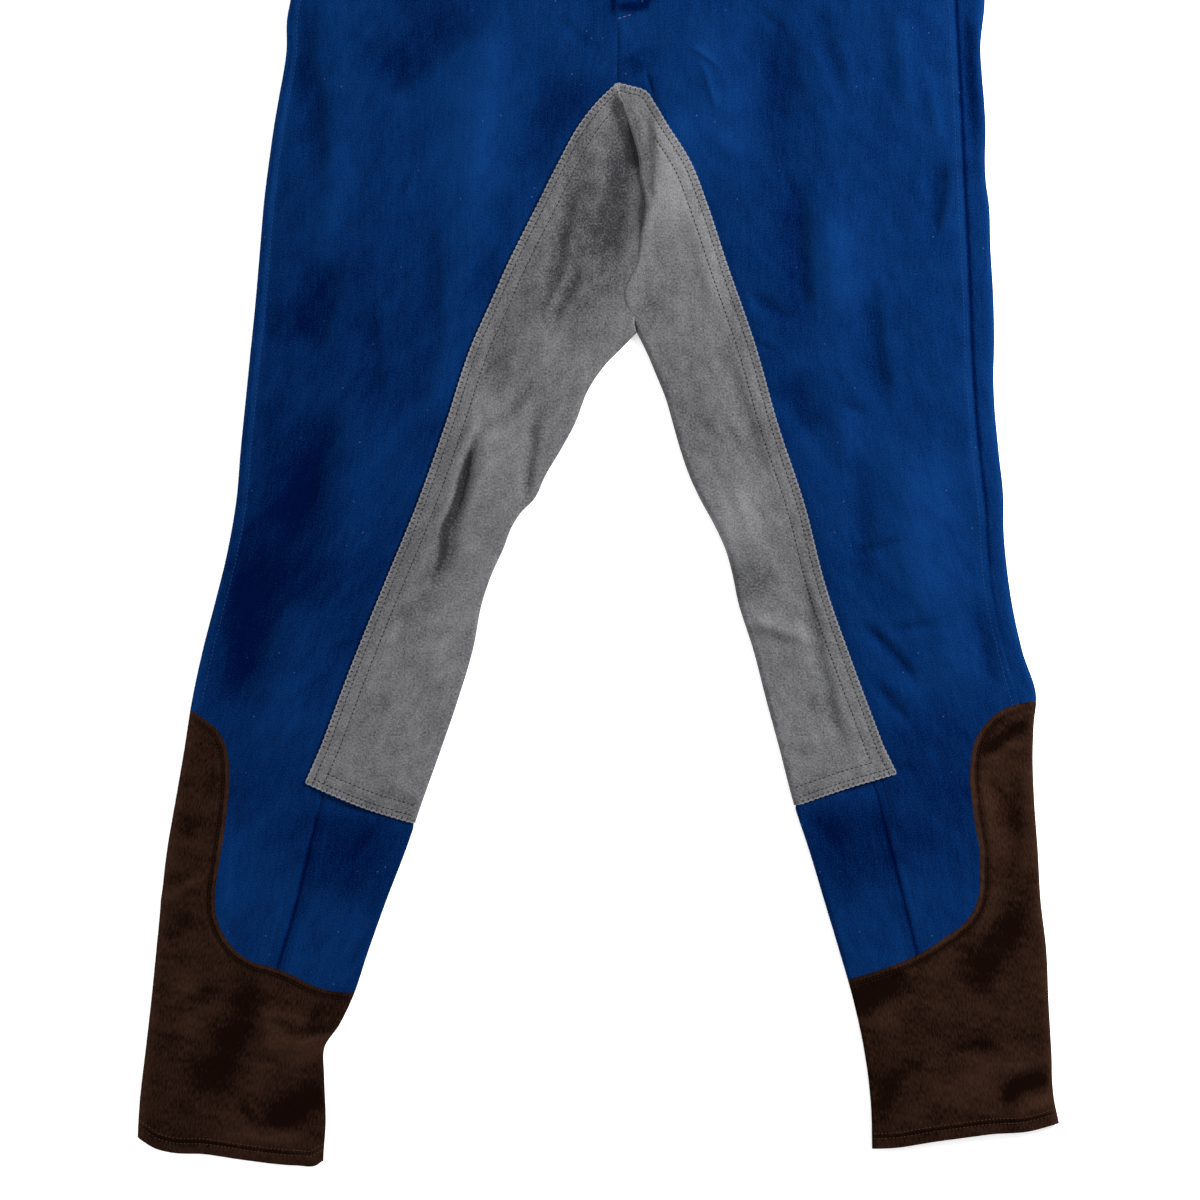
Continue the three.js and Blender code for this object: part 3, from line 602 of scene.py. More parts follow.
HIP_HEIGHT = 300.0
GRAIN = np.array([(120, 516), (128, 66), (150, -50), (205, -250), (250, -516)], float)


def grain_x(y):
    """Outward place of the leg's middle line, along which the warp threads run."""
    return np.interp(y, GRAIN[::-1, 1], GRAIN[::-1, 0])


CREASE_DEPTH = 2.2
SOFT_FLOOR = 0.5
SHARED_FROM = 232
SHARED_FULL = 246
LONG_WAVES = {"size_x": 17, "size_y": 75, "seed": 3}
SHORT_WAVES = {"size_x": 7, "size_y": 24, "seed": 8}


def inside(value, low):
    """The value, kept above low by a soft floor."""
    over = value - low
    return low + (over + np.sqrt(over * over + SOFT_FLOOR)) / 2


def front_height(half, out, y):
    """Outside of the front layer above the table."""
    outer, inner = half.outer(y), half.inner(y, 1)
    out = np.clip(out, inner + BEND_ROOM, outer - BEND_ROOM)
    from_fork = np.hypot(out - half.sign * FORK[0], np.maximum(y - FORK[1], 0))
    from_inner = np.where(y > FORK[1], from_fork, out - inner - BEND_ROOM)
    loft = LOFT * (1 - np.exp(-np.minimum(outer - BEND_ROOM - out, from_inner) / LOFT_REACH))
    x = half.sign * out
    shared = ramp(y, SHARED_FROM, SHARED_FULL) * fold_heights(FOLDS[-half.sign], x, y)
    folds = CREASE_DEPTH * (fold_heights(FOLDS[half.sign], x, y) + shared)
    across = x - half.sign * (grain_x(y) - grain_x(HIP_HEIGHT))
    soft = 0.55 * wander(across, y, **LONG_WAVES) + 0.22 * wander(across, y, **SHORT_WAVES)
    shut = ramp(np.minimum(outer - out, out - inner), BEND_ROOM, 4 * BEND_ROOM)
    return inside(FRONT_HEIGHT + loft + folds + soft * shut, LOWEST_FRONT)


def back_height(half, out, y):
    """Outside of the back layer: on the table, or lifted by the suede that lies under it."""
    outer, inner = half.outer(y), half.inner(y, -1)
    out = np.clip(out, inner + BEND_ROOM, outer - BEND_ROOM)
    origin = np.where(y > FORK[1], half.sign * x_at(back_centre, y), half.inner(y, -1))
    across = out - origin - x_at(back_suede, y)
    away = np.maximum(np.maximum(across, y - BACK_SUEDE[0][1]), half.foot[-1, 1] - y)
    lift = SUEDE_STEP * (1 - ramp(away, LIFT_FULL, LIFT_END))
    return lift + fold_heights(BACK_FOLDS[half.sign], half.sign * out, y)


def height(half, layer, out, y):
    return front_height(half, out, y) if layer > 0 else back_height(half, out, y)


# %% [markdown]
# ## From a flat cut to the lying garment
# A pattern piece is flat. Over the body of a layer it keeps its place, and near a leg edge it goes round a
# quarter of a bend to the edge itself, where it meets the piece of the other layer. The crotch fold of the
# left half is the one place where the cloth turns right under, so its bend goes on for half a turn.

# %% Bends
SMALLEST_BEND = 0.8
FOLD_START = 18


def bend(half, layer, side, y):
    """Where the cloth starts to turn at an edge, and the radius of the turn: side is 1 at the outer edge."""
    edge = half.outer(y) if side > 0 else half.inner(y, layer)
    start = edge - side * BEND_ROOM
    high, low = front_height(half, start, y), back_height(half, start, y)
    radius = np.maximum((high - low) / 2, SMALLEST_BEND)
    if side < 0 and layer > 0 and half.sign > 0:
        radius = radius + (FOLD_RADIUS - radius) * ramp(y, FORK[1], FORK[1] + FOLD_START)
    return edge - side * radius, radius


def turns_under(half, layer, y):
    return (half.sign > 0) & (layer > 0) & (y > FORK[1] + 0.01)


def lay(half, layer, p, y, lift):
    """Places of the flat cut's points p, y on the lying garment, at a lift off the blue cloth."""
    level = height(half, layer, p, y)
    x, z = p.copy(), level + layer * lift
    for side in (1, -1):
        start, radius = bend(half, layer, side, y)
        past = side * (p - start)
        turning = past > 0
        limit = np.where(turns_under(half, layer, y) & (side < 0), math.pi, math.pi / 2)
        angle = np.clip(past / radius, 0, limit)
        under = np.maximum(past - radius * math.pi, 0) * (limit > math.pi / 2)
        middle = height(half, layer, start, y) - layer * radius
        x = np.where(turning, start + side * ((radius + lift) * np.sin(angle) - under), x)
        z = np.where(turning, middle + layer * (radius + lift) * np.cos(angle), z)
    return np.stack([half.sign * x, y, z], 1)


def edge_cut(half, layer, side, y):
    """Flat place of the leg edge itself, where the front and the back layer meet."""
    start, radius = bend(half, layer, side, y)
    return start + side * radius * math.pi / 2


# %% [markdown]
# ## Cutting the cloth
# A piece of cloth is an outline filled with triangles. Blender's constrained Delaunay triangulation takes
# the outline as a closed loop and any points inside. The points are a plain lattice, finer where the
# camera looks closely, and rows of points beside seams and sharp creases, so that those stay crisp. A
# lattice point too close to the outline or to a row is left out, because it would only make slivers.

# %% Fill an outline
ROW_STEP = 0.866
ROW_GAP = 0.7
LATTICE_GAP = 0.42
MEETING_GAP = 0.4
KEY_STEP = 100003


def lattice(low, high, pitch):
    rows = np.arange(low[1], high[1], pitch * ROW_STEP)
    columns = np.arange(low[0], high[0], pitch)
    x, y = np.meshgrid(columns, rows)
    x = x + (np.arange(len(rows)) % 2)[:, None] * pitch / 2
    return np.stack([x.ravel(), y.ravel()], 1)


def clear_of(points, others, gap):
    """The points that have no other one within about the gap."""
    if not len(others):
        return points
    taken = set()
    for dx in (-1, 0, 1):
        for dy in (-1, 0, 1):
            keys = np.floor(others / gap).astype(np.int64) + (dx, dy)
            taken.update((keys[:, 0] * KEY_STEP + keys[:, 1]).tolist())
    keys = np.floor(points / gap).astype(np.int64)
    codes = keys[:, 0] * KEY_STEP + keys[:, 1]
    return points[~np.isin(codes, np.fromiter(taken, np.int64, len(taken)))]


def within(points, outline):
    """Which points lie inside the closed outline, by counting crossings to their right."""
    a, b = outline, np.roll(outline, -1, axis=0)
    rise = np.where(b[:, 1] == a[:, 1], 1e-12, b[:, 1] - a[:, 1])
    found = []
    for some in np.array_split(points, len(points) // 2000 + 1):
        x, y = some[:, :1], some[:, 1:]
        across = a[:, 0] + (y - a[:, 1]) * (b[:, 0] - a[:, 0]) / rise
        found.append((((a[:, 1] > y) != (b[:, 1] > y)) & (across > x)).sum(1) % 2 == 1)
    return np.concatenate(found)


def fill(outline, pitch, fine=None, fine_pitch=None, rows=()):
    """Triangles inside a closed outline: its points first, then those of the rows and the lattice."""
    low, high = outline.min(0), outline.max(0)
    extra = np.vstack(rows) if len(rows) else np.zeros((0, 2))
    extra = clear_of(extra[within(extra, outline)], outline, ROW_GAP)
    grid = lattice(low, high, pitch)
    if fine is not None:
        close = lattice(low, high, fine_pitch)
        close = close[fine(close)]
        grid = np.vstack([clear_of(grid[~fine(grid)], close, pitch * MEETING_GAP), close])
    fixed = np.vstack([outline, extra])
    grid = clear_of(grid[within(grid, outline)], fixed, (fine_pitch or pitch) * LATTICE_GAP)
    points = np.vstack([fixed, grid])
    found = delaunay_2d_cdt([Vector(p) for p in points], [], [list(range(len(outline)))], 0, 1e-6, False)
    made = np.array([v[:] for v in found[0]])
    faces = np.array(found[2])
    faces = faces[within(made[faces].mean(1), outline)]
    used = np.unique(faces)
    place = np.full(len(made), -1)
    place[used] = np.arange(len(used))
    return made[used], place[faces]


SHARP_CREASE = 4.5


def crease_rows(folds):
    """Rows of points beside the sharp creases, on the page."""
    rows = []
    for fold in folds:
        narrow = min(fold.near, fold.far)
        if narrow < SHARP_CREASE:
            path = smooth(fold.path, 1.6)
            rows += [shifted(path, k * narrow * 0.6) for k in (-2, -1, 0, 1, 2)]
    return rows


def seam_rows(curve, reach=2.4):
    """Rows of points along a seam, which hold its small groove."""
    return [shifted(curve, offset) for offset in (-reach, -reach / 3, reach / 3, reach)]

# %% [markdown]
# ## From patches to a shell
# A piece may have a patch on the front layer and one on the back layer. Both are laid, and their points
# along the leg edge fall on each other, so they are sewn into one skin by merging them. The skin then gets
# its inside at the thickness of the cloth, and a rim that closes the two, which makes a closed shell
# without a modifier. The flat cut becomes the UV map, in metres, so that a weave follows the cloth round
# the edge of the leg. The distance from the cut edge is kept as an attribute, because cloth looks
# different where it is worn and sewn.

# %% Skin, inside and rim
def nearest(points, others):
    """Distance from each point to the nearest of the others."""
    tree = KDTree(len(others))
    for i, other in enumerate(others):
        tree.insert(other, i)
    tree.balance()
    return np.array([tree.find(p)[2] for p in points])


def flat(points):
    return np.column_stack([points[:, 0], points[:, 1], np.zeros(len(points))])


def groove(points, seams):
    """How deep the stitches of these seams pull the cloth in at each point."""
    depth = np.zeros(len(points))
    for curve, deep, wide in seams:
        low, high = curve.min(0) - 4 * wide, curve.max(0) + 4 * wide
        close = ((points > low) & (points < high)).all(1)
        if close.any():
            dense = flat(stretch(curve, curve[0], curve[-1], 0.8))
            gap = nearest(flat(points[close]), dense)
            pucker = 1 + 0.5 * wander(points[close, 0], points[close, 1], 6, 6, 21)
            depth[close] = np.maximum(depth[close], deep * pucker * np.exp(-((gap / wide) ** 2)))
    return depth


def skin_normals(places, faces):
    corners = places[faces]
    face = np.cross(corners[:, 1] - corners[:, 0], corners[:, 2] - corners[:, 0])
    normal = np.zeros_like(places)
    for k in range(3):
        for axis in range(3):
            normal[:, axis] += np.bincount(faces[:, k], face[:, axis], len(places))
    return normal / np.maximum(np.linalg.norm(normal, axis=1), 1e-12)[:, None]


def rim_of(faces, count):
    """Directed edges that only one face has."""
    edges = np.vstack([faces[:, [0, 1]], faces[:, [1, 2]], faces[:, [2, 0]]])
    forward = edges[:, 0] * count + edges[:, 1]
    backward = edges[:, 1] * count + edges[:, 0]
    return edges[~np.isin(forward, backward)]


Patch = namedtuple("Patch", "layer cut faces sink", defaults=(0.0,))
# Strengths of the painted shade and light: in the folds, along the seam allowance and along the leg edge.
FOLD_TONE = 0.5
SEAM_HIGHLIGHT = 0.9
RIM_LIGHT = 1.6
RIM_WIDTH = 5.0
OUTSEAM_SHADE = {-1: -0.7, 1: -2.2}
MERGE_GRID = 0.01
MERGE_SHIFT = 0.00371
BACK_UV_SHIFT = 0.6


def mottle(kind, x, across, y):
    """Uneven light on cloth pulled straight: down the leg on drill and suede, across it on jersey."""
    if kind == "jersey_cloth":
        return 0.45 * wander(x, y + 0.25 * x, 26, 5, 41) + 0.25 * wander(x, y, 9, 14, 43)
    return 0.14 * wander(across, y, 15, 40, 31) + 0.30 * wander(across + 0.4 * y, y, 7, 12, 37)


def relief(half, layer, p, y, kind):
    """Painted shade and light: fold heights in mm, dark in the troughs and light on the ridges, with the soft
    shades.
    """
    folds = FOLDS[half.sign] if layer > 0 else BACK_FOLDS[half.sign]
    x = half.sign * p
    # Painted shade in the troughs of the folds and painted light on their ridges, with the mottle.
    total = FOLD_TONE * fold_heights(folds, x, y) + mottle(kind, x, p - grain_x(y), y)
    if layer > 0:
        # Painted shade and light of the soft patches, the seams and the cuff edges.
        total += fold_heights(SHADES[kind][half.sign], x, y)
        if kind == "drill_cloth":
            total += fold_heights([seam_highlight(half), *seam_shades(half)], x, y)
        if kind == "jersey_cloth":
            total += fold_heights(cuff_edge_shading(half), x, y)
        # Painted light along the outer leg edge.
        edge = edge_cut(half, 1, 1, y) - p
        total += RIM_LIGHT * np.exp(-((edge / RIM_WIDTH) ** 2))
    return total


def seam_highlight(half):
    """Painted highlight beside the outseam, where the seam allowance behind would lift the cloth into the
    light.
    """
    line = shifted(half.outseam, -half.sign * 3.2)
    return Fold("outseam allowance", line[::8], 2.6, 2.6, SEAM_HIGHLIGHT)


def seam_shades(half):
    """Painted shade: dark lines along the seams, which are pulled in tight, and a shade beside the calf seam.
    """
    beside = shifted(half.calf, -half.sign * 4.0)
    return [
        Fold("calf seam, dark", half.calf[::6], 1.3, 1.3, -1.7),
        Fold("beside the calf seam", beside[::6], 2.5, 2.5, -0.6),
        Fold("outseam, dark", half.outseam[::6], 1.6, 1.6, OUTSEAM_SHADE[half.sign]),
    ]


def cuff_edge_shading(half):
    """Painted light on the turned edge of a cuff, and painted shade along its stitched rows, which are drawn
    in.
    """
    turned, drawn = [shifted(half.cuff_top, half.sign * away)[::6] for away in (1.8, 4.6)]
    hem = [(x, y + 8.6) for x, y in half.hem[::6]]
    return [
        Fold("turned edge", turned, 1.5, 1.5, 1.6), Fold("cuff row", drawn, 1.2, 2.2, -2.0),
        Fold("hem row", hem, 1.3, 1.3, -2.0),
    ]


def sew(name, half, patches, lift, cloth, seams=(), finish=None):
    """A closed shell of cloth from flat patches, lifted off the blue cloth and with the given thickness."""
    places, faces, uvs, tones, start = [], [], [], [], 0
    for patch in patches:
        p, y = patch.cut[:, 0], patch.cut[:, 1]
        laid = lay(half, patch.layer, p, y, lift)
        if patch.layer > 0:
            page = np.column_stack([half.sign * p, y])
            laid[:, 2] -= groove(page, seams) + patch.sink
        turned = skin_normals(laid, patch.faces)[:, 2].sum() * patch.layer < 0
        faces.append((patch.faces[:, ::-1] if turned else patch.faces) + start)
        places.append(laid)
        beside = BACK_UV_SHIFT if patch.layer < 0 else 0
        uvs.append(np.column_stack([(p - grain_x(y)) * MM + beside, y * MM]))
        tones.append(relief(half, patch.layer, p, y, finish.name))
        start += len(laid)
    places, faces, uvs, tones = np.vstack(places), np.vstack(faces), np.vstack(uvs), np.concatenate(tones)
    corner_uv = uvs[faces]
    keys = np.floor((places + MERGE_SHIFT) / MERGE_GRID).astype(np.int64)
    first, merged = np.unique(keys, axis=0, return_index=True, return_inverse=True)[1:]
    places, tones, faces = places[first], tones[first], merged.reshape(-1)[faces]
    whole = (faces[:, 0] != faces[:, 1]) & (faces[:, 1] != faces[:, 2]) & (faces[:, 2] != faces[:, 0])
    faces, corner_uv = faces[whole], corner_uv[whole]
    normal = skin_normals(places, faces)
    count = len(places)
    rim = rim_of(faces, count)
    walls = np.vstack([np.column_stack([rim[:, 1], rim[:, 0], rim[:, 0] + count]),
                       np.column_stack([rim[:, 1], rim[:, 0] + count, rim[:, 1] + count])])
    every = np.vstack([places, places - normal * cloth]) * MM
    all_faces = np.vstack([faces, faces[:, ::-1] + count, walls])
    wall_uv = np.zeros((len(walls), 3, 2))
    uv_of = np.zeros((count, 2))
    uv_of[faces] = corner_uv
    wall_uv[:] = uv_of[walls % count]
    mesh = mesh_from(name, every, all_faces)
    layer = mesh.uv_layers.new(name="cut")
    layer.data.foreach_set("uv", np.vstack([corner_uv, corner_uv[:, ::-1], wall_uv]).ravel())
    rim_places = places[np.unique(rim)]
    gap = nearest(places, rim_places)
    mesh.attributes.new("from_edge", "FLOAT", "POINT").data.foreach_set("value", np.tile(gap, 2) * MM)
    # The painted shade and light go to the colour through this attribute.
    mesh.attributes.new("relief", "FLOAT", "POINT").data.foreach_set("value", np.tile(tones, 2))
    made = put_down(name, mesh, finish)
    area = 0.5 * np.linalg.norm(np.cross(places[faces[:, 1]] - places[faces[:, 0]],
                                         places[faces[:, 2]] - places[faces[:, 0]]), axis=1).sum() * MM * MM
    size = (places.max(0) - places.min(0)).round(1)
    print(f"{name}: {len(all_faces)} triangles, {area:.4f} m2 of cloth, {size[0]} x {size[1]} x {size[2]} mm")
    return made


def mesh_from(name, places, faces):
    mesh = bpy.data.meshes.new(name)
    mesh.vertices.add(len(places))
    mesh.vertices.foreach_set("co", np.asarray(places, np.float32).ravel())
    mesh.loops.add(faces.size)
    mesh.loops.foreach_set("vertex_index", np.asarray(faces, np.int32).ravel())
    mesh.polygons.add(len(faces))
    mesh.polygons.foreach_set("loop_start", np.arange(0, faces.size, 3, dtype=np.int32))
    mesh.polygons.foreach_set("loop_total", np.full(len(faces), 3, np.int32))
    mesh.update(calc_edges=True)
    mesh.shade_smooth()
    mesh.set_sharp_from_angle(angle=math.radians(60))
    return mesh


def put_down(name, mesh, finish):
    """An object at the origin with this mesh and finish."""
    mesh.name = name
    made = bpy.data.objects.new(name, mesh)
    bpy.context.collection.objects.link(made)
    if finish is not None:
        mesh.materials.append(finish)
    return made


# %% [markdown]
# ## Cloth finishes
# Each finish is written as a short sum over patterns. A small class wraps a socket, so that plus, minus
# and times add Math nodes, and one method adds any other node. Patterns read the cut's UV map, in metres,
# so that a streak of 10 mm is 10 mm on every piece.

# %% Shader helpers
DARKEST = -2.1
LIGHTEST = 1.5


class Value:
    """A socket that Python's operators work on."""

    def __init__(self, finish, socket):
        self.finish, self.socket = finish, socket

    def _math(self, operation, first, second):
        return self.finish.node("ShaderNodeMath", {"operation": operation}, {0: first, 1: second})

    def __add__(self, other):
        return self._math("ADD", self, other)

    def __sub__(self, other):
        return self._math("SUBTRACT", self, other)

    def __rsub__(self, other):
        return self._math("SUBTRACT", other, self)

    def __mul__(self, other):
        return self._math("MULTIPLY", self, other)

    __radd__ = __add__
    __rmul__ = __mul__


class Finish:
    """A material, with one method that adds any node to it."""

    def __init__(self, name, **constants):
        self.material = bpy.data.materials.new(name)
        self.material.use_nodes = True
        self.tree = self.material.node_tree
        self.shader = self.tree.nodes["Principled BSDF"]
        for socket, value in constants.items():
            self.shader.inputs[socket.replace("_", " ")].default_value = value

    def node(self, kind, settings=None, sockets=None, output=0):
        made = self.tree.nodes.new(kind)
        for name, value in (settings or {}).items():
            setattr(made, name, value)
        for key, value in (sockets or {}).items():
            if isinstance(value, Value):
                self.tree.links.new(value.socket, made.inputs[key])
            else:
                made.inputs[key].default_value = value
        return Value(self, made.outputs[output])

    def feed(self, socket, value):
        self.tree.links.new(value.socket, self.shader.inputs[socket])

    def cloth_place(self, across, along):
        """The cut's place, scaled so that a pattern has features of these sizes in metres."""
        place = self.node("ShaderNodeUVMap", {"uv_map": "cut"})
        sizes = (1 / across, 1 / along, 1)
        return self.node("ShaderNodeVectorMath", {"operation": "MULTIPLY"}, {0: place, 1: sizes})

    def noise(self, across, along, detail=2.0, rough=0.5):
        """Noise around 0, about from -1 to 1."""
        place = self.cloth_place(across, along)
        sockets = {"Vector": place, "Scale": 1.0, "Detail": detail, "Roughness": rough}
        return (self.node("ShaderNodeTexNoise", {}, sockets) - 0.5) * 3.0

    def between(self, value, low, high):
        """The value's place between low and high, smoothly from 0 to 1."""
        settings = {"interpolation_type": "SMOOTHSTEP"}
        return self.node("ShaderNodeMapRange", settings, {"Value": value, "From Min": low, "From Max": high})

    def blend(self, factor, one, other):
        """Colour one, going over to the other as the factor goes from 0 to 1."""
        return self.node("ShaderNodeMix", {"data_type": "RGBA"}, {0: factor, 6: one, 7: other}, 2)

    def relief(self):
        """The painted shade and light attribute, held between the darkest and the lightest shade."""
        kept = self.node("ShaderNodeAttribute", {"attribute_name": "relief"}, output=2)
        return self.node("ShaderNodeClamp", {}, {"Value": kept, "Min": DARKEST, "Max": LIGHTEST})

    def bump(self, height, distance, strength=1.0):
        sockets = {"Height": height, "Distance": distance, "Strength": strength}
        self.feed("Normal", self.node("ShaderNodeBump", {}, sockets))


def colour(red, green, blue):
    return (red, green, blue, 1.0)


# %% [markdown]
# ### Blue cotton drill
# Drill is a twill: fine diagonal ribs, too small to see from above, and under them the slubs of the warp,
# which the photograph shows as faint upright streaks. Pale lint lies on it. A wave gives the ribs to the
# bump, long noise gives the streaks, and a cell pattern gives the lint.

# %% Drill
def drill_finish():
    sheen = {"Sheen_Weight": 0.05, "Sheen_Roughness": 0.4, "Sheen_Tint": colour(0.05, 0.35, 1.0)}
    drill = Finish("drill_cloth", Roughness=1.0, **sheen)
    drill.shader.inputs["Specular IOR Level"].default_value = 0.0
    streaks = drill.noise(0.0011, 0.009, 3.0, 0.65)
    specks = drill.noise(0.0010, 0.0010, 2.0, 0.6)
    slubs = drill.noise(0.003, 0.030)
    clouds = drill.noise(0.035, 0.070)
    grain = streaks * 0.20 + specks * 0.52 + slubs * 0.10 + clouds * 0.08
    # The painted shade and light of the folds and patches darken and lighten the blue.
    tone = drill.node("ShaderNodeClamp", {}, {"Value": grain + drill.relief() * 0.30 + 0.5})
    cloth = drill.blend(tone, colour(0.0001, 0.0022, 0.019), colour(0.0020, 0.0200, 0.085))
    apart = {"Vector": drill.cloth_place(0.011, 0.011), "Scale": 1.0}
    cells = drill.node("ShaderNodeTexVoronoi", {"voronoi_dimensions": "2D"}, apart)
    few = drill.between(drill.noise(0.019, 0.019), 0.30, 0.55)
    lint = (1 - drill.between(cells, 0.02, 0.05)) * few
    drill.feed("Base Color", drill.blend(lint * 0.35, cloth, colour(0.10, 0.16, 0.30)))
    twill = {"Vector": drill.cloth_place(0.0022, 0.0022), "Scale": 1.0}
    ribs = drill.node("ShaderNodeTexWave", {"bands_direction": "DIAGONAL"}, twill)
    drill.bump(ribs * 0.3 + specks * 0.4 + streaks * 0.3, 0.00018)
    return drill.material


# %% [markdown]
# ### Grey suede
# Suede has no weave. Its nap lies in soft patches that are lighter or darker with the way it was brushed,
# with a fine grain over them. The cut edge is paler, because the fibres stand open there.

# %% Suede
def suede_finish():
    suede = Finish("suede_cloth", Roughness=1.0, Sheen_Weight=0.04, Sheen_Roughness=0.5)
    suede.shader.inputs["Specular IOR Level"].default_value = 0.0
    grain = suede.noise(0.0014, 0.0015, 3.0, 0.7)
    nap = suede.noise(0.006, 0.010, 2.0)
    brushed = suede.noise(0.030, 0.045)
    brush = grain * 0.58 + nap * 0.16 + brushed * 0.12
    # The painted shade and light of the folds and patches darken and lighten the suede.
    tone = suede.node("ShaderNodeClamp", {}, {"Value": brush + suede.relief() * 0.24 + 0.5})
    hide = suede.blend(tone, colour(0.018, 0.018, 0.020), colour(0.128, 0.128, 0.133))
    edge = suede.node("ShaderNodeAttribute", {"attribute_name": "from_edge"}, output=2)
    worn = 1 - suede.between(edge, 0.0002, 0.0016)
    suede.feed("Base Color", suede.blend(worn * 0.35, hide, colour(0.22, 0.22, 0.24)))
    suede.bump(grain * 0.7 + nap * 0.3, 0.0003)
    return suede.material


# %% [markdown]
# ### Brown cuffs
# The cuffs are a dense stretch jersey of a warm brown, with painted shade that makes them nearly black in the
# folds and painted light on top of them. Its knit is a fine upright grain with soft clouds in it.

# %% Jersey
def jersey_finish():
    jersey = Finish("jersey_cloth", Roughness=0.6)
    jersey.shader.inputs["Specular IOR Level"].default_value = 0.0
    knit = jersey.noise(0.0011, 0.0040, 3.0, 0.65)
    clouds = jersey.noise(0.018, 0.018)
    weave = knit * 0.42 + clouds * 0.12
    # The painted shade and light make the jersey nearly black in the folds and warm brown on top.
    tone = jersey.node("ShaderNodeClamp", {}, {"Value": weave + jersey.relief() * 0.20 + 0.24})
    dark, warm = colour(0.0040, 0.0016, 0.0010), colour(0.0330, 0.0158, 0.0100)
    jersey.feed("Base Color", jersey.blend(tone, dark, warm))
    jersey.bump(knit, 0.00015)
    return jersey.material


# %% [markdown]
# ### Threads and the button
# Thread is twisted, and at this size a fine noise in its bump and colour is enough to show that.

# %% Thread and button
def thread_finish(name, shade, light):
    thread = Finish(name, Roughness=0.8)
    thread.shader.inputs["Specular IOR Level"].default_value = 0.05
    place = thread.node("ShaderNodeTexCoord", output=3)
    twist = thread.node("ShaderNodeTexNoise", {}, {"Vector": place, "Scale": 900.0, "Detail": 1.0})
    thread.feed("Base Color", thread.blend(twist, shade, light))
    thread.bump(twist, 0.0001)
    return thread.material


def button_finish():
    button = Finish("button", Roughness=0.35)
    place = button.node("ShaderNodeTexCoord", output=3)
    swirl = button.node("ShaderNodeTexNoise", {}, {"Vector": place, "Scale": 160.0, "Distortion": 1.5})
    button.feed("Base Color", button.blend(swirl, colour(0.006, 0.012, 0.040), colour(0.014, 0.028, 0.080)))
    return button.material


DRILL = drill_finish()
SUEDE = suede_finish()
JERSEY = jersey_finish()
FADED_THREAD = thread_finish("faded_thread", colour(0.0025, 0.014, 0.058), colour(0.011, 0.040, 0.118))
BLUE_THREAD = thread_finish("blue_thread", colour(0.0003, 0.0035, 0.018), colour(0.0010, 0.0085, 0.038))
MAUVE_THREAD = thread_finish("mauve_thread", colour(0.050, 0.045, 0.11), colour(0.13, 0.11, 0.22))
DARK_THREAD = thread_finish("dark_thread", colour(0.005, 0.005, 0.006), colour(0.018, 0.018, 0.020))
BROWN_THREAD = thread_finish("brown_thread", colour(0.0045, 0.0014, 0.0008), colour(0.018, 0.008, 0.005))
TAN_THREAD = thread_finish("tan_thread", colour(0.018, 0.009, 0.005), colour(0.065, 0.036, 0.022))
BUTTON = button_finish()

# %% [markdown]
# ## Where the stitches run
# Every row of topstitching is a seam line moved sideways. The rows are worked out before the cloth is cut,
# because the cloth dips along them.

# %% Rows of stitches
SUEDE_ROWS = (4.6, 12.0)
CUFF_ROWS = (4.4, 6.2)
HEM_ROWS = (7.0, 10.5)
OUTSEAM_ROW = {-1: 4.4, 1: 5.4}
CALF_ROW = 7.4
Groove = namedtuple("Groove", "line depth width")


def fly_curve():
    return smooth([(44, 470), (43.5, 400), (43, 330), (41, 304), (36, 294), (25, 288.5), (14.5, 285)], 1.0)


def seam_plan(half):
    """The stitched rows of a half on the front layer, on the page, by name."""
    s = half.sign
    edge_in = shifted(half.suede, -s * SUEDE_ROWS[0]), shifted(half.suede, -s * SUEDE_ROWS[1])
    foot_in = shifted(half.foot, -s * SUEDE_ROWS[0]), shifted(half.foot, -s * SUEDE_ROWS[1])
    return {
        "outseam": shifted(half.outseam, -s * OUTSEAM_ROW[s]),
        "calf": shifted(half.calf, s * CALF_ROW),
        "suede": edge_in,
        "foot": foot_in,
        "cuff": [shifted(half.cuff_top, s * row) for row in CUFF_ROWS],
        "hem": [shifted(half.hem, -s * row) for row in HEM_ROWS],
    }


PLAN = {half.sign: seam_plan(half) for half in HALVES}
fly = fly_curve()
front_centre = np.array([(CENTRE_X, 540.0), (CENTRE_X, CROTCH[1])])


def drill_grooves(half):
    plan = PLAN[half.sign]
    seams = [
        Groove(plan["outseam"], 0.3, 1.2), Groove(half.outseam, 0.35, 1.0), Groove(plan["calf"], 0.35, 1.3),
        Groove(half.calf, 0.9, 0.9), Groove(front_centre, 0.35, 0.8),
        Groove(shifted(half.suede, half.sign * 1.0), 0.5, 2.5),
    ]
    if half.sign > 0:
        seams.append(Groove(fly, 1.1, 1.5))
    return seams


def suede_grooves(half):
    plan = PLAN[half.sign]
    return [Groove(line, 0.4, 1.3) for line in (*plan["suede"], *plan["foot"])]


def cuff_grooves(half):
    plan = PLAN[half.sign]
    return [Groove(line, 0.4, 1.2) for line in (*plan["cuff"], *plan["hem"])]


def groove_points(half, seams):
    return [row * (half.sign, 1) for seam in seams for row in seam_rows(seam.line)]


# %% [markdown]
# ## Drafting each piece
# An outline is put together from stretches of the lines above, in order round the piece. On the page it is
# in x and y. The cut uses the distance outwards, and near a leg edge it is measured round the bend, so the
# helpers below turn one into the other.

# %% Outline helpers
def cut_from_page(half, layer, line):
    """Page points as points of the flat cut of that layer."""
    out, y = half.sign * line[:, 0], line[:, 1]
    cut = out.copy()
    for side in (1, -1):
        start, radius = bend(half, layer, side, y)
        past = side * (out - start)
        angle = np.arcsin(np.clip(past / radius, 0, 1))
        cut = np.where(past > 0, start + side * radius * angle, cut)
    return np.column_stack([cut, y])


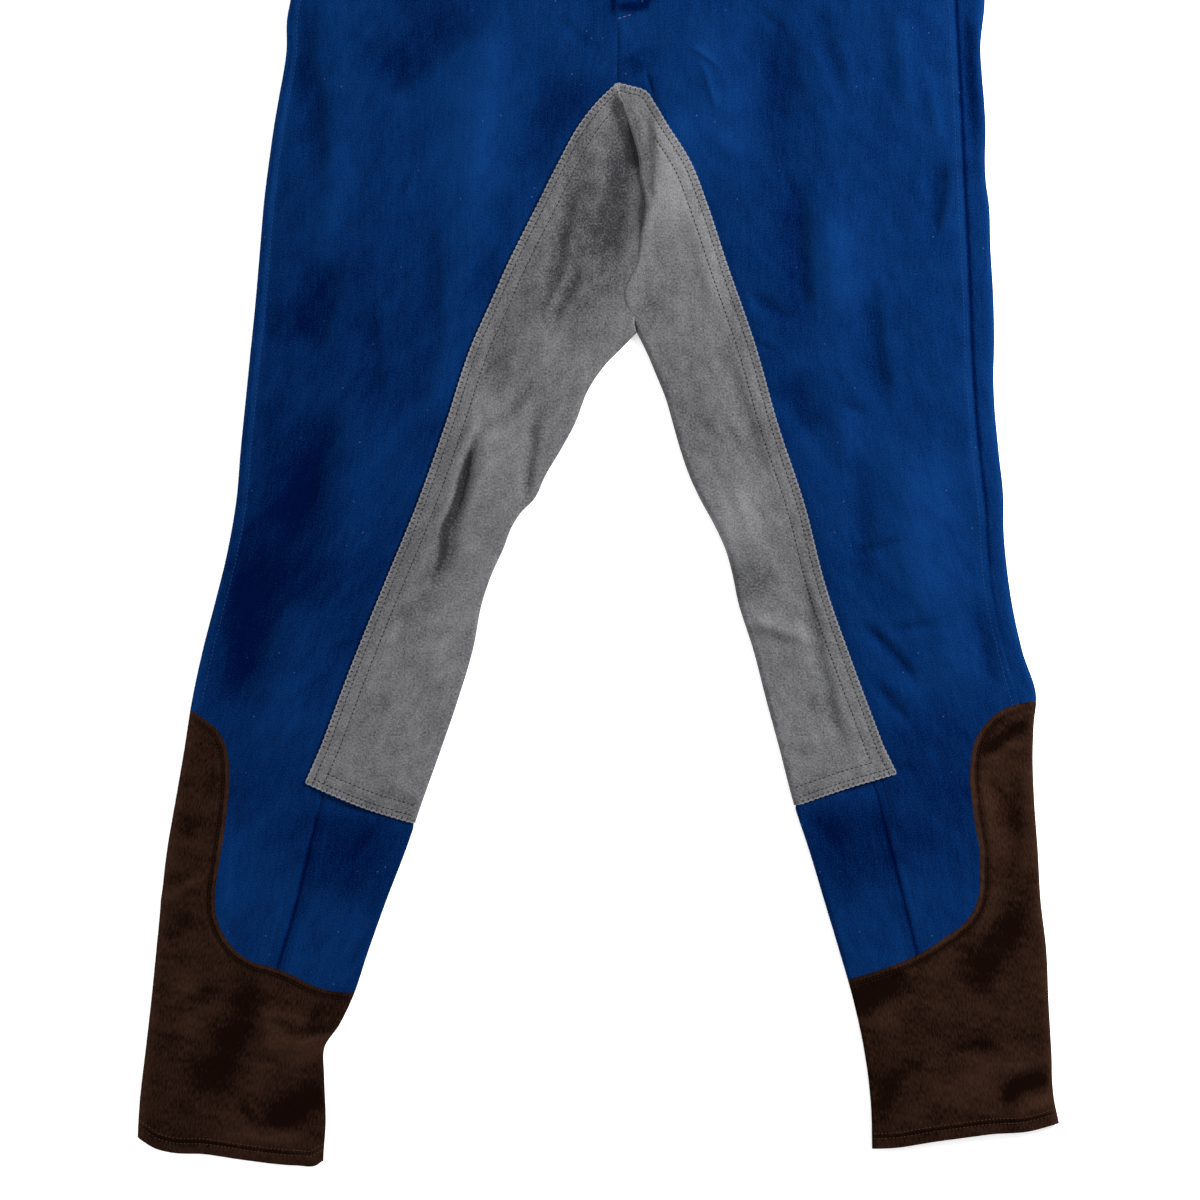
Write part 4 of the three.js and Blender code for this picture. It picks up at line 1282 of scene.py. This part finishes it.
def leg_edge(half, layer, side, top, bottom, step=2.4):
    """The leg edge between two heights, as the flat cut of that layer has it."""
    y = np.linspace(top, bottom, int(abs(top - bottom) / step) + 2)
    return np.column_stack([edge_cut(half, layer, side, y), y])


def loop(*parts):
    """One closed outline from stretches that follow each other, without doubled points."""
    points = np.vstack(parts)
    step = np.hypot(*(points - np.roll(points, 1, axis=0)).T)
    return points[step > 0.05]


def waist_dip(x):
    away = np.minimum(np.abs(x - CENTRE_X) / WAIST_CURVE, 1)
    return FRONT_DIP / 2 * (1 + np.cos(math.pi * away))


def waist_line(half, start, end, level, dips, step=3.0):
    """Waist line between two distances outwards, in the flat cut."""
    out = np.linspace(start, end, int(abs(end - start) / step) + 2)
    x = half.sign * out
    return np.column_stack([out, level - waist_dip(x) * dips])


def ends_of(half):
    """Heights and points where the lines of a half cross each other."""
    cuff_out = meeting(half.cuff_top, half.outer_line)[1]
    cuff_in = meeting(half.cuff_top, half.inner_line)[1]
    hem_out = meeting(half.hem, half.outer_line)[1]
    hem_in = meeting(half.hem, half.inner_line)[1]
    return {
        "cuff_out": cuff_out, "cuff_in": cuff_in, "hem_out": hem_out, "hem_in": hem_in,
        "seam_out": meeting(half.cuff_top, half.outseam), "seam_in": meeting(half.cuff_top, half.calf),
    }


ENDS = {half.sign: ends_of(half) for half in HALVES}


def inseam(half):
    """From the centre front under the suede, and down the calf."""
    covered = half.suede[(half.suede[:, 1] < INSEAM_TOP) & (half.suede[:, 1] > INSEAM_FOOT)]
    under = covered - (half.sign * INSEAM_INSET, 0)
    top = np.array([(CENTRE_X, CROTCH[1] - 3)])
    return np.vstack([top, under[::3], half.calf])


# %% [markdown]
# ## Fronts
# A front runs from the centre to the outseam and from the waist to the cuff, and its inner margin goes
# under the suede. It's the largest surface in the picture, so its lattice is fine.

# %% Front panels
DRILL_PITCH = 2.5
FRONT_SINK = 0.8


def front_panel(half):
    s, ends = half.sign, ENDS[half.sign]
    inner_line = inseam(half)
    clear = SEAM_GAP / 2
    waist = WAIST_SEAM - clear
    seam_top = (x_at(half.outseam, waist), waist)
    centre = np.array([(CENTRE_X + s * clear, waist - FRONT_DIP), (CENTRE_X + s * clear, CROTCH[1] - 3)])
    down = stretch(shifted(inner_line, s * clear), inner_line[0], ends["seam_in"])
    across = stretch(half.cuff_top, ends["seam_in"], ends["seam_out"])
    up = stretch(shifted(half.outseam, -s * clear), ends["seam_out"], seam_top)
    out = s * seam_top[0]
    level = waist_line(half, out, s * centre[0, 0], waist, True)
    page = loop(stretch(centre, centre[0], centre[1], 2.5), down[1:], across[1:], up[1:])
    outline = loop(cut_from_page(half, 1, page), level[1:-1])
    seams = drill_grooves(half)
    creases = [row * (s, 1) for row in crease_rows(FOLDS[s])]
    cut, faces = fill(outline, DRILL_PITCH, rows=groove_points(half, seams) + creases)
    under = -s * (s * cut[:, 0] - x_at(half.suede, cut[:, 1]))
    sink = FRONT_SINK * ramp(under, 2.5, 6.0) * (cut[:, 1] < CROTCH[1] - 6)
    name = f"front_{half.name}_cloth"
    return sew(name, half, [Patch(1, cut, faces, sink)], 0.0, DRILL_CLOTH, seams, DRILL)


fronts = {half.sign: front_panel(half) for half in HALVES}

# %% [markdown]
# ## Backs
# A back lies on the table, turns up round both leg edges and meets the front at the outseam and at the
# inseam. So it has three patches: the back layer, a strip at the outside, and the inner strip with the
# calf that shows below the suede.

# %% Back panels
BACK_PITCH = 4.6
INNER_STRIP_PITCH = 4.0
BACK_SINK = 1.3
FINE_ABOVE_FOOT = 40


def back_panel(half):
    s, ends = half.sign, ENDS[half.sign]
    clear = SEAM_GAP / 2
    waist = WAIST_SEAM - clear
    fork_y = FORK[1]
    centre_x = s * (CENTRE_X + s * clear)
    edge_out = {layer: leg_edge(half, layer, 1, waist, ends["cuff_out"]) for layer in (1, -1)}
    edge_in = {layer: leg_edge(half, layer, -1, ends["cuff_in"], fork_y) for layer in (1, -1)}

    cuff_page = stretch(half.cuff_top, (s * half.outer(ends["cuff_out"]), ends["cuff_out"]),
                        (s * half.inner(ends["cuff_in"], -1), ends["cuff_in"]))
    cuff_cut = cut_from_page(half, -1, cuff_page)
    centre = stretch(back_centre + (s * clear, 0), (FORK[0], fork_y + 2), (CENTRE_X, waist), 4.0) * (s, 1)
    top = waist_line(half, centre_x, edge_out[-1][0, 0], waist, False, 5.0)
    outline = loop(top, edge_out[-1][1:], cuff_cut[1:-1], edge_in[-1], centre[:-1])
    cut, faces = fill(outline, BACK_PITCH)
    patches = [Patch(-1, cut, faces)]

    seams = drill_grooves(half)
    rows = groove_points(half, seams)
    seam_top = (x_at(half.outseam, waist), waist)
    seam = stretch(shifted(half.outseam, s * clear), seam_top, ends["seam_out"])
    below = stretch(half.cuff_top, ends["seam_out"], (s * half.outer(ends["cuff_out"]), ends["cuff_out"]))
    seam_cut, below_cut = cut_from_page(half, 1, seam), cut_from_page(half, 1, below)
    level = waist_line(half, edge_out[1][0, 0], seam_cut[0, 0], waist, False)
    outline = loop(seam_cut, below_cut[1:-1], edge_out[1][::-1], level[1:-1])
    cut, faces = fill(outline, DRILL_PITCH, rows=rows)
    patches.append(Patch(1, cut, faces))

    inner_line = inseam(half)
    down = stretch(shifted(inner_line, -s * clear), inner_line[0], ends["seam_in"])
    below = stretch(half.cuff_top, ends["seam_in"], (s * half.inner(ends["cuff_in"], 1), ends["cuff_in"]))
    down_cut, below_cut = cut_from_page(half, 1, down), cut_from_page(half, 1, below)
    centre = stretch(crotch_fold, (FORK[0], fork_y + 2), (CENTRE_X, CROTCH[1] - 4), 3.0)
    out = s * centre[:, 0]
    if s > 0:
        out = out + SUEDE_STEP + FOLD_RADIUS + 0.2
    crotch = np.column_stack([out, centre[:, 1]])
    outline = loop(down_cut[1:], below_cut[1:-1], edge_in[1], crotch)
    foot_y = half.foot[-1, 1]

    def shows(points):
        return points[:, 1] < foot_y + FINE_ABOVE_FOOT

    cut, faces = fill(outline, INNER_STRIP_PITCH, shows, DRILL_PITCH, rows)
    from_edge = cut[:, 0] - edge_cut(half, 1, -1, cut[:, 1])
    sink = BACK_SINK * ramp(cut[:, 1], foot_y + 4, foot_y + 12) * ramp(from_edge, 1, 7)
    patches.append(Patch(1, cut, faces, sink))
    return sew(f"back_{half.name}_cloth", half, patches, 0.0, DRILL_CLOTH, seams, DRILL)


backs = {half.sign: back_panel(half) for half in HALVES}

# %% [markdown]
# ## Suede seat patches
# The suede lies over the blue: down the inner leg in front, round the inner edge, and over the seat
# behind. Its free edges are overcast, which pulls them into small scallops. On the left half the front
# part turns under at the crotch fold, and the right half's suede goes on beneath it.

# %% Seat patches
SUEDE_PITCH = 1.9
HIDDEN_PITCH = 4.2
SCALLOP = 3.7
SCALLOP_DEPTH = 0.7


def scalloped(line, outwards):
    """The line resampled finely, with small lobes between the overcast stitches."""
    dense = stretch(line, line[0], line[-1], 0.9)
    lobes = SCALLOP_DEPTH * np.abs(np.sin(math.pi * run_of(dense) / SCALLOP))
    d = np.gradient(dense, axis=0)
    d /= np.hypot(*d.T)[:, None]
    return dense + (outwards * lobes)[:, None] * np.column_stack([-d[:, 1], d[:, 0]])


def crotch_side(half):
    """Boundary of the front suede above the fork, upwards to the tip, in the flat cut."""
    y = np.linspace(FORK[1] + 1.5, CROTCH[1] - 1.5, 90)
    if half.sign > 0:
        start, radius = bend(half, 1, -1, y)
        turn = math.pi / 2 + (math.pi / 2) * ramp(y, FORK[1], FORK[1] + 12)
        full = start - radius * turn - 4.0 * ramp(y, FORK[1] + 4, FORK[1] + 16)
        tip = ramp(y, FOLD_TOP - 14, FOLD_TOP - 0.5)
        return np.column_stack([full * (1 - tip) + (x_at(crotch_fold, y) + 0.1) * tip, y])
    tuck = TUCK_UNDER * ramp(y, FORK[1] + 4, FORK[1] + 18) * (1 - ramp(y, 214, 236))
    return np.column_stack([-(x_at(crotch_fold, y) + tuck) + 0.1, y])


def seat_patch(half):
    s, fork_y = half.sign, FORK[1]
    foot_in = half.foot[-1, 1]
    side = scalloped(half.suede, s)
    foot = scalloped(half.foot, s)
    edge_in = {layer: leg_edge(half, layer, -1, foot_in, fork_y) for layer in (1, -1)}
    side_cut, foot_cut = cut_from_page(half, 1, side), cut_from_page(half, 1, foot[:-3])
    outline = loop(side_cut, foot_cut, edge_in[1], crotch_side(half))
    creases = [row * (s, 1) for row in crease_rows(FOLDS[s] + SHADES["suede_cloth"][s])]
    rows = groove_points(half, suede_grooves(half)) + creases
    if s > 0:
        y = np.arange(fork_y + 3, 236, 1.6)
        start, radius = bend(half, 1, -1, y)
        rows += [np.column_stack([start - radius * turn, y]) for turn in (0, 0.5, 1.0, 1.5, 2.1, 2.7)]
    cut, faces = fill(outline, SUEDE_PITCH, rows=rows)
    patches = [Patch(1, cut, faces)]

    y = np.linspace(BACK_SUEDE[0][1], foot_in, 240)
    origin = np.where(y > fork_y, s * x_at(back_centre, y), half.inner(y, -1))
    seat = scalloped(np.column_stack([origin + x_at(back_suede, y), y])[3:], 1)
    centre = stretch(back_centre, (FORK[0], fork_y + 2), (CENTRE_X, BACK_SUEDE[0][1] - 1), 4.0)
    centre = np.column_stack([s * centre[:, 0] + 0.1, centre[:, 1]])
    inner_end = edge_in[-1][0, 0]
    base = np.column_stack([np.linspace(seat[-1, 0], inner_end, 30), np.full(30, foot_in)])
    outline = loop(seat, base[1:-1], edge_in[-1], centre)
    cut, faces = fill(outline, HIDDEN_PITCH)
    patches.append(Patch(-1, cut, faces))
    name = f"seat_patch_{half.name}_suede"
    return sew(name, half, patches, SUEDE_STEP, SUEDE_CLOTH, suede_grooves(half), SUEDE)


seats = {half.sign: seat_patch(half) for half in HALVES}

# %% [markdown]
# ## Cuffs
# A cuff is a closed tube from its S-shaped top edge to the hem. It is cut as a front and a back half that
# meet round both leg edges.

# %% Cuffs
CUFF_PITCH = 2.0
CUFF_BACK_PITCH = 4.0


def cuff(half):
    s, ends = half.sign, ENDS[half.sign]
    clear = SEAM_GAP / 2
    patches = []
    for layer, pitch in ((1, CUFF_PITCH), (-1, CUFF_BACK_PITCH)):
        top = stretch(shifted(half.cuff_top, s * clear), (s * half.outer(ends["cuff_out"]), ends["cuff_out"]),
                      (s * half.inner(ends["cuff_in"], 1), ends["cuff_in"]), 1.6)
        hem = stretch(half.hem, (s * half.inner(ends["hem_in"], 1), ends["hem_in"]),
                      (s * half.outer(ends["hem_out"]), ends["hem_out"]), 1.6)
        inner = leg_edge(half, layer, -1, ends["cuff_in"] - 0.2, ends["hem_in"])
        outer = leg_edge(half, layer, 1, ends["hem_out"], ends["cuff_out"] - 0.2)
        top_cut, hem_cut = cut_from_page(half, layer, top), cut_from_page(half, layer, hem)
        outline = loop(top_cut[1:-1], inner, hem_cut[1:-1], outer)
        rows = []
        if layer > 0:
            creases = [row * (s, 1) for row in crease_rows(FOLDS[s] + SHADES["jersey_cloth"][s])]
            rows = groove_points(half, cuff_grooves(half)) + creases
        cut, faces = fill(outline, pitch, rows=rows)
        patches.append(Patch(layer, cut, faces))
    return sew(f"cuff_{half.name}_jersey", half, patches, 0.0, JERSEY_CLOTH, cuff_grooves(half), JERSEY)


cuffs = {half.sign: cuff(half) for half in HALVES}

# %% [markdown]
# ## Waistband
# The picture ends below the waist, so the band is plain: a folded strip of the same drill, lower at the
# centre front, closed by one button.

# %% Waistbands
BAND_PITCH = 3.2


def waistband(half):
    s = half.sign
    clear = SEAM_GAP / 2
    low = WAIST_SEAM + clear
    patches, edges = [], {}
    x = np.linspace(-260, 260, 90)
    seams = [Groove(np.column_stack([x, level - waist_dip(x)]), 0.3, 1.2) for level in (low + 3, TOP - 3)]
    for layer in (1, -1):
        dips = layer > 0
        edges[layer] = leg_edge(half, layer, 1, low, TOP, 3.0)
        inner = s * (CENTRE_X + s * clear)
        base = waist_line(half, inner, edges[layer][0, 0], low, dips)
        top = waist_line(half, edges[layer][-1, 0], inner, TOP, dips)
        outline = loop(base[:-1], edges[layer], top[1:])
        cut, faces = fill(outline, BAND_PITCH)
        patches.append(Patch(layer, cut, faces))
    return sew(f"waistband_{half.name}_cloth", half, patches, 0.0, BAND_CLOTH, seams, DRILL)


bands = {half.sign: waistband(half) for half in HALVES}

# %% [markdown]
# ## Stitches
# A row of stitches repeats one short stitch along a line, which is what Geometry Nodes are good at. The
# tree takes lines as bare edges, sets points on them at the pitch, puts a stitch on each point and turns
# it along the line. It ends in Realize Instances and Set Material, and the result is kept as a plain mesh.

# %% A single stitch
def stitch_mesh(sides=6):
    """A plump thread, one unit long and one unit in radius."""
    rings = [(-0.5, 0.35), (-0.3, 0.95), (0.3, 0.95), (0.5, 0.35)]
    angles = [2 * math.pi * k / sides for k in range(sides)]
    places = [(x, r * math.cos(a), r * math.sin(a)) for x, r in rings for a in angles]
    faces = []
    for ring in range(len(rings) - 1):
        for k in range(sides):
            a, b = ring * sides + k, ring * sides + (k + 1) % sides
            faces += [(a, a + sides, b), (b, a + sides, b + sides)]
    for base, turn in ((0, 1), ((len(rings) - 1) * sides, -1)):
        for k in range(1, sides - 1):
            faces.append((base, base + k, base + k + 1)[::turn])
    return mesh_from("stitch", np.array(places), np.array(faces)[:, ::-1])


stitch = put_down("stitch", stitch_mesh(), None)
stitch.hide_render = True

# %% The tree that sews
def sewing_tree():
    tree = bpy.data.node_groups.new("sew_along_lines", "GeometryNodeTree")
    panel = tree.interface
    panel.new_socket("Lines", in_out="INPUT", socket_type="NodeSocketGeometry")
    kinds = {"Stitch": "Object", "Pitch": "Float", "Size": "Vector", "Turn": "Rotation", "Thread": "Material"}
    for name, kind in kinds.items():
        panel.new_socket(name, in_out="INPUT", socket_type=f"NodeSocket{kind}")
    panel.new_socket("Stitches", in_out="OUTPUT", socket_type="NodeSocketGeometry")
    nodes, links = tree.nodes, tree.links
    given, result = nodes.new("NodeGroupInput"), nodes.new("NodeGroupOutput")
    curve = nodes.new("GeometryNodeMeshToCurve")
    points = nodes.new("GeometryNodeCurveToPoints")
    points.mode = "LENGTH"
    aim = nodes.new("FunctionNodeAlignRotationToVector")
    aim.axis = "X"
    turn = nodes.new("FunctionNodeRotateRotation")
    turn.rotation_space = "LOCAL"
    piece = nodes.new("GeometryNodeObjectInfo")
    place = nodes.new("GeometryNodeInstanceOnPoints")
    real = nodes.new("GeometryNodeRealizeInstances")
    colour_it = nodes.new("GeometryNodeSetMaterial")
    links.new(given.outputs["Lines"], curve.inputs["Mesh"])
    links.new(curve.outputs["Curve"], points.inputs["Curve"])
    links.new(given.outputs["Pitch"], points.inputs["Length"])
    links.new(points.outputs["Points"], place.inputs["Points"])
    links.new(points.outputs["Tangent"], aim.inputs["Vector"])
    links.new(aim.outputs["Rotation"], turn.inputs["Rotation"])
    links.new(given.outputs["Turn"], turn.inputs["Rotate By"])
    links.new(turn.outputs["Rotation"], place.inputs["Rotation"])
    links.new(given.outputs["Stitch"], piece.inputs["Object"])
    links.new(piece.outputs["Geometry"], place.inputs["Instance"])
    links.new(given.outputs["Size"], place.inputs["Scale"])
    links.new(place.outputs["Instances"], real.inputs["Geometry"])
    links.new(real.outputs["Geometry"], colour_it.inputs["Geometry"])
    links.new(given.outputs["Thread"], colour_it.inputs["Material"])
    links.new(colour_it.outputs["Geometry"], result.inputs["Stitches"])
    return tree


SEWING = sewing_tree()


def lines_mesh(name, lines):
    places = np.vstack(lines) * MM
    edges, start = [], 0
    for line in lines:
        edges += [(start + k, start + k + 1) for k in range(len(line) - 1)]
        start += len(line)
    mesh = bpy.data.meshes.new(name)
    mesh.from_pydata([tuple(p) for p in places], edges, [])
    return mesh


def stitched(name, lines, thread, pitch, length, radius, turn=0.0):
    """Rows of stitches along lines on the garment, as a plain mesh. Sizes are in millimetres."""
    carrier = put_down(name, lines_mesh(name, lines), None)
    sewing = carrier.modifiers.new("sewing", "NODES")
    sewing.node_group = SEWING
    wanted = {
        "Stitch": stitch, "Pitch": pitch * MM, "Size": (length * MM, radius * MM, radius * 0.8 * MM),
        "Turn": (0.0, 0.0, turn), "Thread": thread,
    }
    for item in SEWING.interface.items_tree:
        if item.item_type == "SOCKET" and item.name in wanted:
            sewing[item.identifier] = wanted[item.name]
    graph = bpy.context.evaluated_depsgraph_get()
    mesh = bpy.data.meshes.new_from_object(carrier.evaluated_get(graph))
    bpy.data.objects.remove(carrier)
    made = put_down(name, mesh, None)
    print(f"{name}: {len(mesh.polygons)} faces of thread")
    return made


# %% [markdown]
# ### Lines on the cloth
# A stitch row is laid like the cloth itself, at the height of the surface less its groove, so that the
# thread sits in the dip and not above it.

# %% Rows laid on the cloth
THREAD_RISE = 0.1
THREAD_UNDER = 0.25
FLY_RISE = 0.7


def on_front(half, line, lift, seams, rise=THREAD_RISE):
    cut = cut_from_page(half, 1, line)
    laid = lay(half, 1, cut[:, 0], cut[:, 1], lift)
    laid[:, 2] += rise - groove(line, seams)
    return laid


def on_back(half, cut, lift):
    laid = lay(half, -1, cut[:, 0], cut[:, 1], lift)
    laid[:, 2] += THREAD_UNDER
    return laid


def blue_rows(half):
    s, plan, ends = half.sign, PLAN[half.sign], ENDS[half.sign]
    seams = drill_grooves(half)
    outseam = stretch(plan["outseam"], (x_at(plan["outseam"], WAIST_SEAM - 2), WAIST_SEAM - 2),
                      meeting(plan["outseam"], half.cuff_top), 1.5)
    calf = stretch(plan["calf"], meeting(plan["calf"], half.foot), meeting(plan["calf"], half.cuff_top), 1.5)
    outseam, calf = [on_front(half, line, 0.0, seams) for line in (outseam, calf)]
    lines = [calf]
    if s > 0:
        beside = np.array([(CENTRE_X + 1.6, y) for y in np.arange(284, 240, -1.5)])
        lines.append(on_front(half, beside, 0.0, seams))
    return [outseam], lines


def suede_rows(half):
    plan, seams = PLAN[half.sign], suede_grooves(half)
    lines = []
    for k, row in enumerate(plan["suede"]):
        start = row[4 + 12 * k] if half.sign < 0 or k == 0 else row[52]
        lines.append(stretch(row, start, meeting(row, plan["foot"][k]), 1.5))
        foot = plan["foot"][k]
        lines.append(stretch(foot, meeting(row, foot), foot[-6], 1.5))
    return [on_front(half, line, SUEDE_STEP, seams) for line in lines]


def overcast_rows(half):
    seams = suede_grooves(half)
    rows = [shifted(half.suede, -half.sign * 1.3)[6:-1], shifted(half.foot, -half.sign * 1.3)[1:-6]]
    return [on_front(half, row, SUEDE_STEP, seams) for row in rows]


def cuff_rows(half, which):
    plan, seams, s = PLAN[half.sign], cuff_grooves(half), half.sign
    lines = []
    for row in plan[which]:
        outer = meeting(row, shifted(half.outer_line, -s * 1.5))
        inner = meeting(row, shifted(half.inner_line, s * 1.5))
        lines.append(stretch(row, outer, inner, 1.5))
    return [on_front(half, line, 0.0, seams) for line in lines]


def seat_rows(half):
    s = half.sign
    y = np.linspace(BACK_SUEDE[0][1] - 8, half.foot[-1, 1] + 5, 300)
    origin = np.where(y > FORK[1], s * x_at(back_centre, y), half.inner(y, -1))
    lines = []
    for inset in SUEDE_ROWS:
        edge = np.column_stack([origin + x_at(back_suede, y) - inset, y])
        lines.append(on_back(half, edge[edge[:, 0] > origin + 4], SUEDE_STEP))
    return lines


FLY_END = 22
outseams = [line for half in HALVES for line in blue_rows(half)[0]]
calves_and_fly = [line for half in HALVES for line in blue_rows(half)[1]]
fly_shown = [on_front(LEFT, fly[fly[:, 0] < FLY_END], 0.0, drill_grooves(LEFT), FLY_RISE)]
suede_lines = [line for half in HALVES for line in suede_rows(half)]
cut_edges = [line for half in HALVES for line in overcast_rows(half)]
cuff_lines = [line for half in HALVES for line in cuff_rows(half, "cuff")]
hem_lines = [line for half in HALVES for line in cuff_rows(half, "hem")]
seat_lines = [line for half in HALVES for line in seat_rows(half)]

drill_thread = stitched("topstitch_drill", calves_and_fly, BLUE_THREAD, 3.0, 2.4, 0.24)
outseam_thread = stitched("topstitch_outseam", outseams, FADED_THREAD, 3.0, 1.7, 0.28)
fly_thread = stitched("topstitch_fly", fly_shown, MAUVE_THREAD, 2.8, 2.3, 0.26)
suede_thread = stitched("topstitch_suede", suede_lines, DARK_THREAD, 3.2, 2.1, 0.36)
overcast_thread = stitched("overcast_suede", cut_edges, DARK_THREAD, SCALLOP, 2.4, 0.26, math.pi / 2)
cuff_thread = stitched("topstitch_cuffs", cuff_lines, BROWN_THREAD, 2.4, 1.8, 0.26)
hem_thread = stitched("topstitch_hems", hem_lines, TAN_THREAD, 2.6, 1.5, 0.24)
seat_thread = stitched("topstitch_seat", seat_lines, DARK_THREAD, 3.4, 2.3, 0.34)

# %% [markdown]
# ## Button
# The button is turned round a profile, like a real sewing button: a raised rim, a shallow dish and four
# holes, with thread through them. Its place comes from the CAD node that it stands for.

# %% Button
def button_mesh(radius, thickness, around=40):
    rim, dish = 0.78 * radius, 0.66 * radius
    profile = [
        (0.0, 0.0), (radius * 0.85, 0.0), (radius * 0.97, 0.15 * thickness), (radius, 0.45 * thickness),
        (radius * 0.97, 0.8 * thickness), (0.9 * radius, 0.97 * thickness), (rim, thickness),
        (dish, 0.72 * thickness), (0.45 * radius, 0.66 * thickness), (0.0, 0.64 * thickness),
    ]
    places, faces = [(0, 0, profile[0][1])], []
    for r, z in profile[1:-1]:
        places += [(r * math.cos(2 * math.pi * k / around), r * math.sin(2 * math.pi * k / around), z)
                   for k in range(around)]
    places.append((0, 0, profile[-1][1]))
    last = len(places) - 1
    for k in range(around):
        n = (k + 1) % around
        faces.append((0, 1 + n, 1 + k))
        for ring in range(len(profile) - 3):
            a, b = 1 + ring * around + k, 1 + ring * around + n
            faces += [(a, b, b + around), (a, b + around, a + around)]
        top = 1 + (len(profile) - 3) * around
        faces.append((last, top + k, top + n))
    return mesh_from("waist_button_turned", np.array(places), np.array(faces))


low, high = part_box("waist_button")
button_centre = (low + high) / 2
button = put_down("waist_button_turned", button_mesh((high.x - low.x) / 2, high.z - low.z), BUTTON)
button.data.transform(Matrix.Translation((button_centre.x, button_centre.y, low.z)))
hole = (high.x - low.x) * 0.11
cross = [
    np.array([(button_centre.x / MM + sx * hole / MM, button_centre.y / MM - hole / MM, high.z / MM - 0.75),
              (button_centre.x / MM + sx * hole / MM, button_centre.y / MM, high.z / MM - 0.55),
              (button_centre.x / MM + sx * hole / MM, button_centre.y / MM + hole / MM, high.z / MM - 0.75)])
    for sx in (-1, 1)
]
button_thread = stitched("button_thread", cross, BLUE_THREAD, 1.2, 1.6, 0.35)

# %% [markdown]
# ## What each piece stands for
# Every cloth piece replaces its CAD node, which is hidden, and hangs from the root body. The table gives the
# size and area of each piece's flat cut.

# %% Replacing the CAD nodes
CUTS = {
    "front": ((0.30, 0.94), 0.137), "back": ((0.42, 0.94), 0.22), "seat_patch": ((0.26, 0.62), 0.10),
    "cuff": ((0.32, 0.33), 0.05), "waistband": ((0.48, 0.046), 0.0185),
}
MADE = {"front": fronts, "back": backs, "seat_patch": seats, "cuff": cuffs, "waistband": bands}
for part, (cut_size, cut_area) in CUTS.items():
    for half in HALVES:
        piece = MADE[part][half.sign]
        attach(piece, "root")
        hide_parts(f"{part}_{half.name}")
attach(button, "root")
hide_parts("waist_button")
for thread in (
    drill_thread, outseam_thread, fly_thread, suede_thread, overcast_thread, cuff_thread, hem_thread,
    seat_thread, button_thread,
):
    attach(thread, "root")
bpy.data.objects.remove(stitch)

# %% [markdown]
# ## Table, light and camera
# The picture was taken straight down with soft light from its upper right and a bright surround. A large
# lamp stands there, a weak one opposite, and the world fills the rest. The camera looks straight down, and
# the plain colour transform keeps the cloth's own colours.

# %% Table
def floor_finish():
    floor = Finish("table_top", Roughness=0.9, Emission_Color=colour(1.0, 1.0, 1.0), Emission_Strength=0.4)
    floor.shader.inputs["Specular IOR Level"].default_value = 0.1
    place = floor.node("ShaderNodeTexCoord", output=3)
    grain = floor.node("ShaderNodeTexNoise", {}, {"Vector": place, "Scale": 6.0, "Detail": 1.0})
    floor.feed("Base Color", floor.blend(grain, colour(0.88, 0.88, 0.88), colour(0.92, 0.92, 0.92)))
    return floor.material


TABLE_REACH = 6.0
TABLE_DROP = 0.0002
corners = np.array([(-1, -1, 0), (1, -1, 0), (1, 1, 0), (-1, 1, 0)]) * TABLE_REACH
table_mesh = mesh_from("table_top", corners, np.array([(0, 1, 2), (0, 2, 3)]))
table = put_down("table_top", table_mesh, floor_finish())
table.location.z = -TABLE_DROP

# %% Light
def lamp(name, place, size, power):
    data = bpy.data.lights.new(name, "AREA")
    data.shape = "DISK"
    data.size = size
    data.energy = power
    made = bpy.data.objects.new(name, data)
    made.location = place
    made.rotation_euler = (Vector((0, 0, 0)) - Vector(place)).to_track_quat("-Z", "Y").to_euler()
    bpy.context.collection.objects.link(made)
    return made


lamp("key", (1.50, 0.98, 1.08), 0.9, 128.0)
lamp("fill", (-2.2, -0.5, 0.8), 1.8, 45.0)
world = bpy.data.worlds.new("surround")
world.use_nodes = True
world.node_tree.nodes["Background"].inputs["Color"].default_value = (1.0, 1.0, 1.0, 1.0)
world.node_tree.nodes["Background"].inputs["Strength"].default_value = 0.60
bpy.context.scene.world = world

# %% Camera
PHOTO_CENTRE = (0.0008, -0.1210)
PHOTO_WIDTH = 0.840
CAMERA_HEIGHT = 2.2
camera_data = bpy.data.cameras.new("camera")
camera_data.sensor_width = 36.0
camera_data.lens = 36.0 * CAMERA_HEIGHT / PHOTO_WIDTH
camera = bpy.data.objects.new("camera", camera_data)
camera.location = (*PHOTO_CENTRE, CAMERA_HEIGHT)
bpy.context.collection.objects.link(camera)
bpy.context.scene.camera = camera
bpy.context.scene.view_settings.view_transform = "Standard"
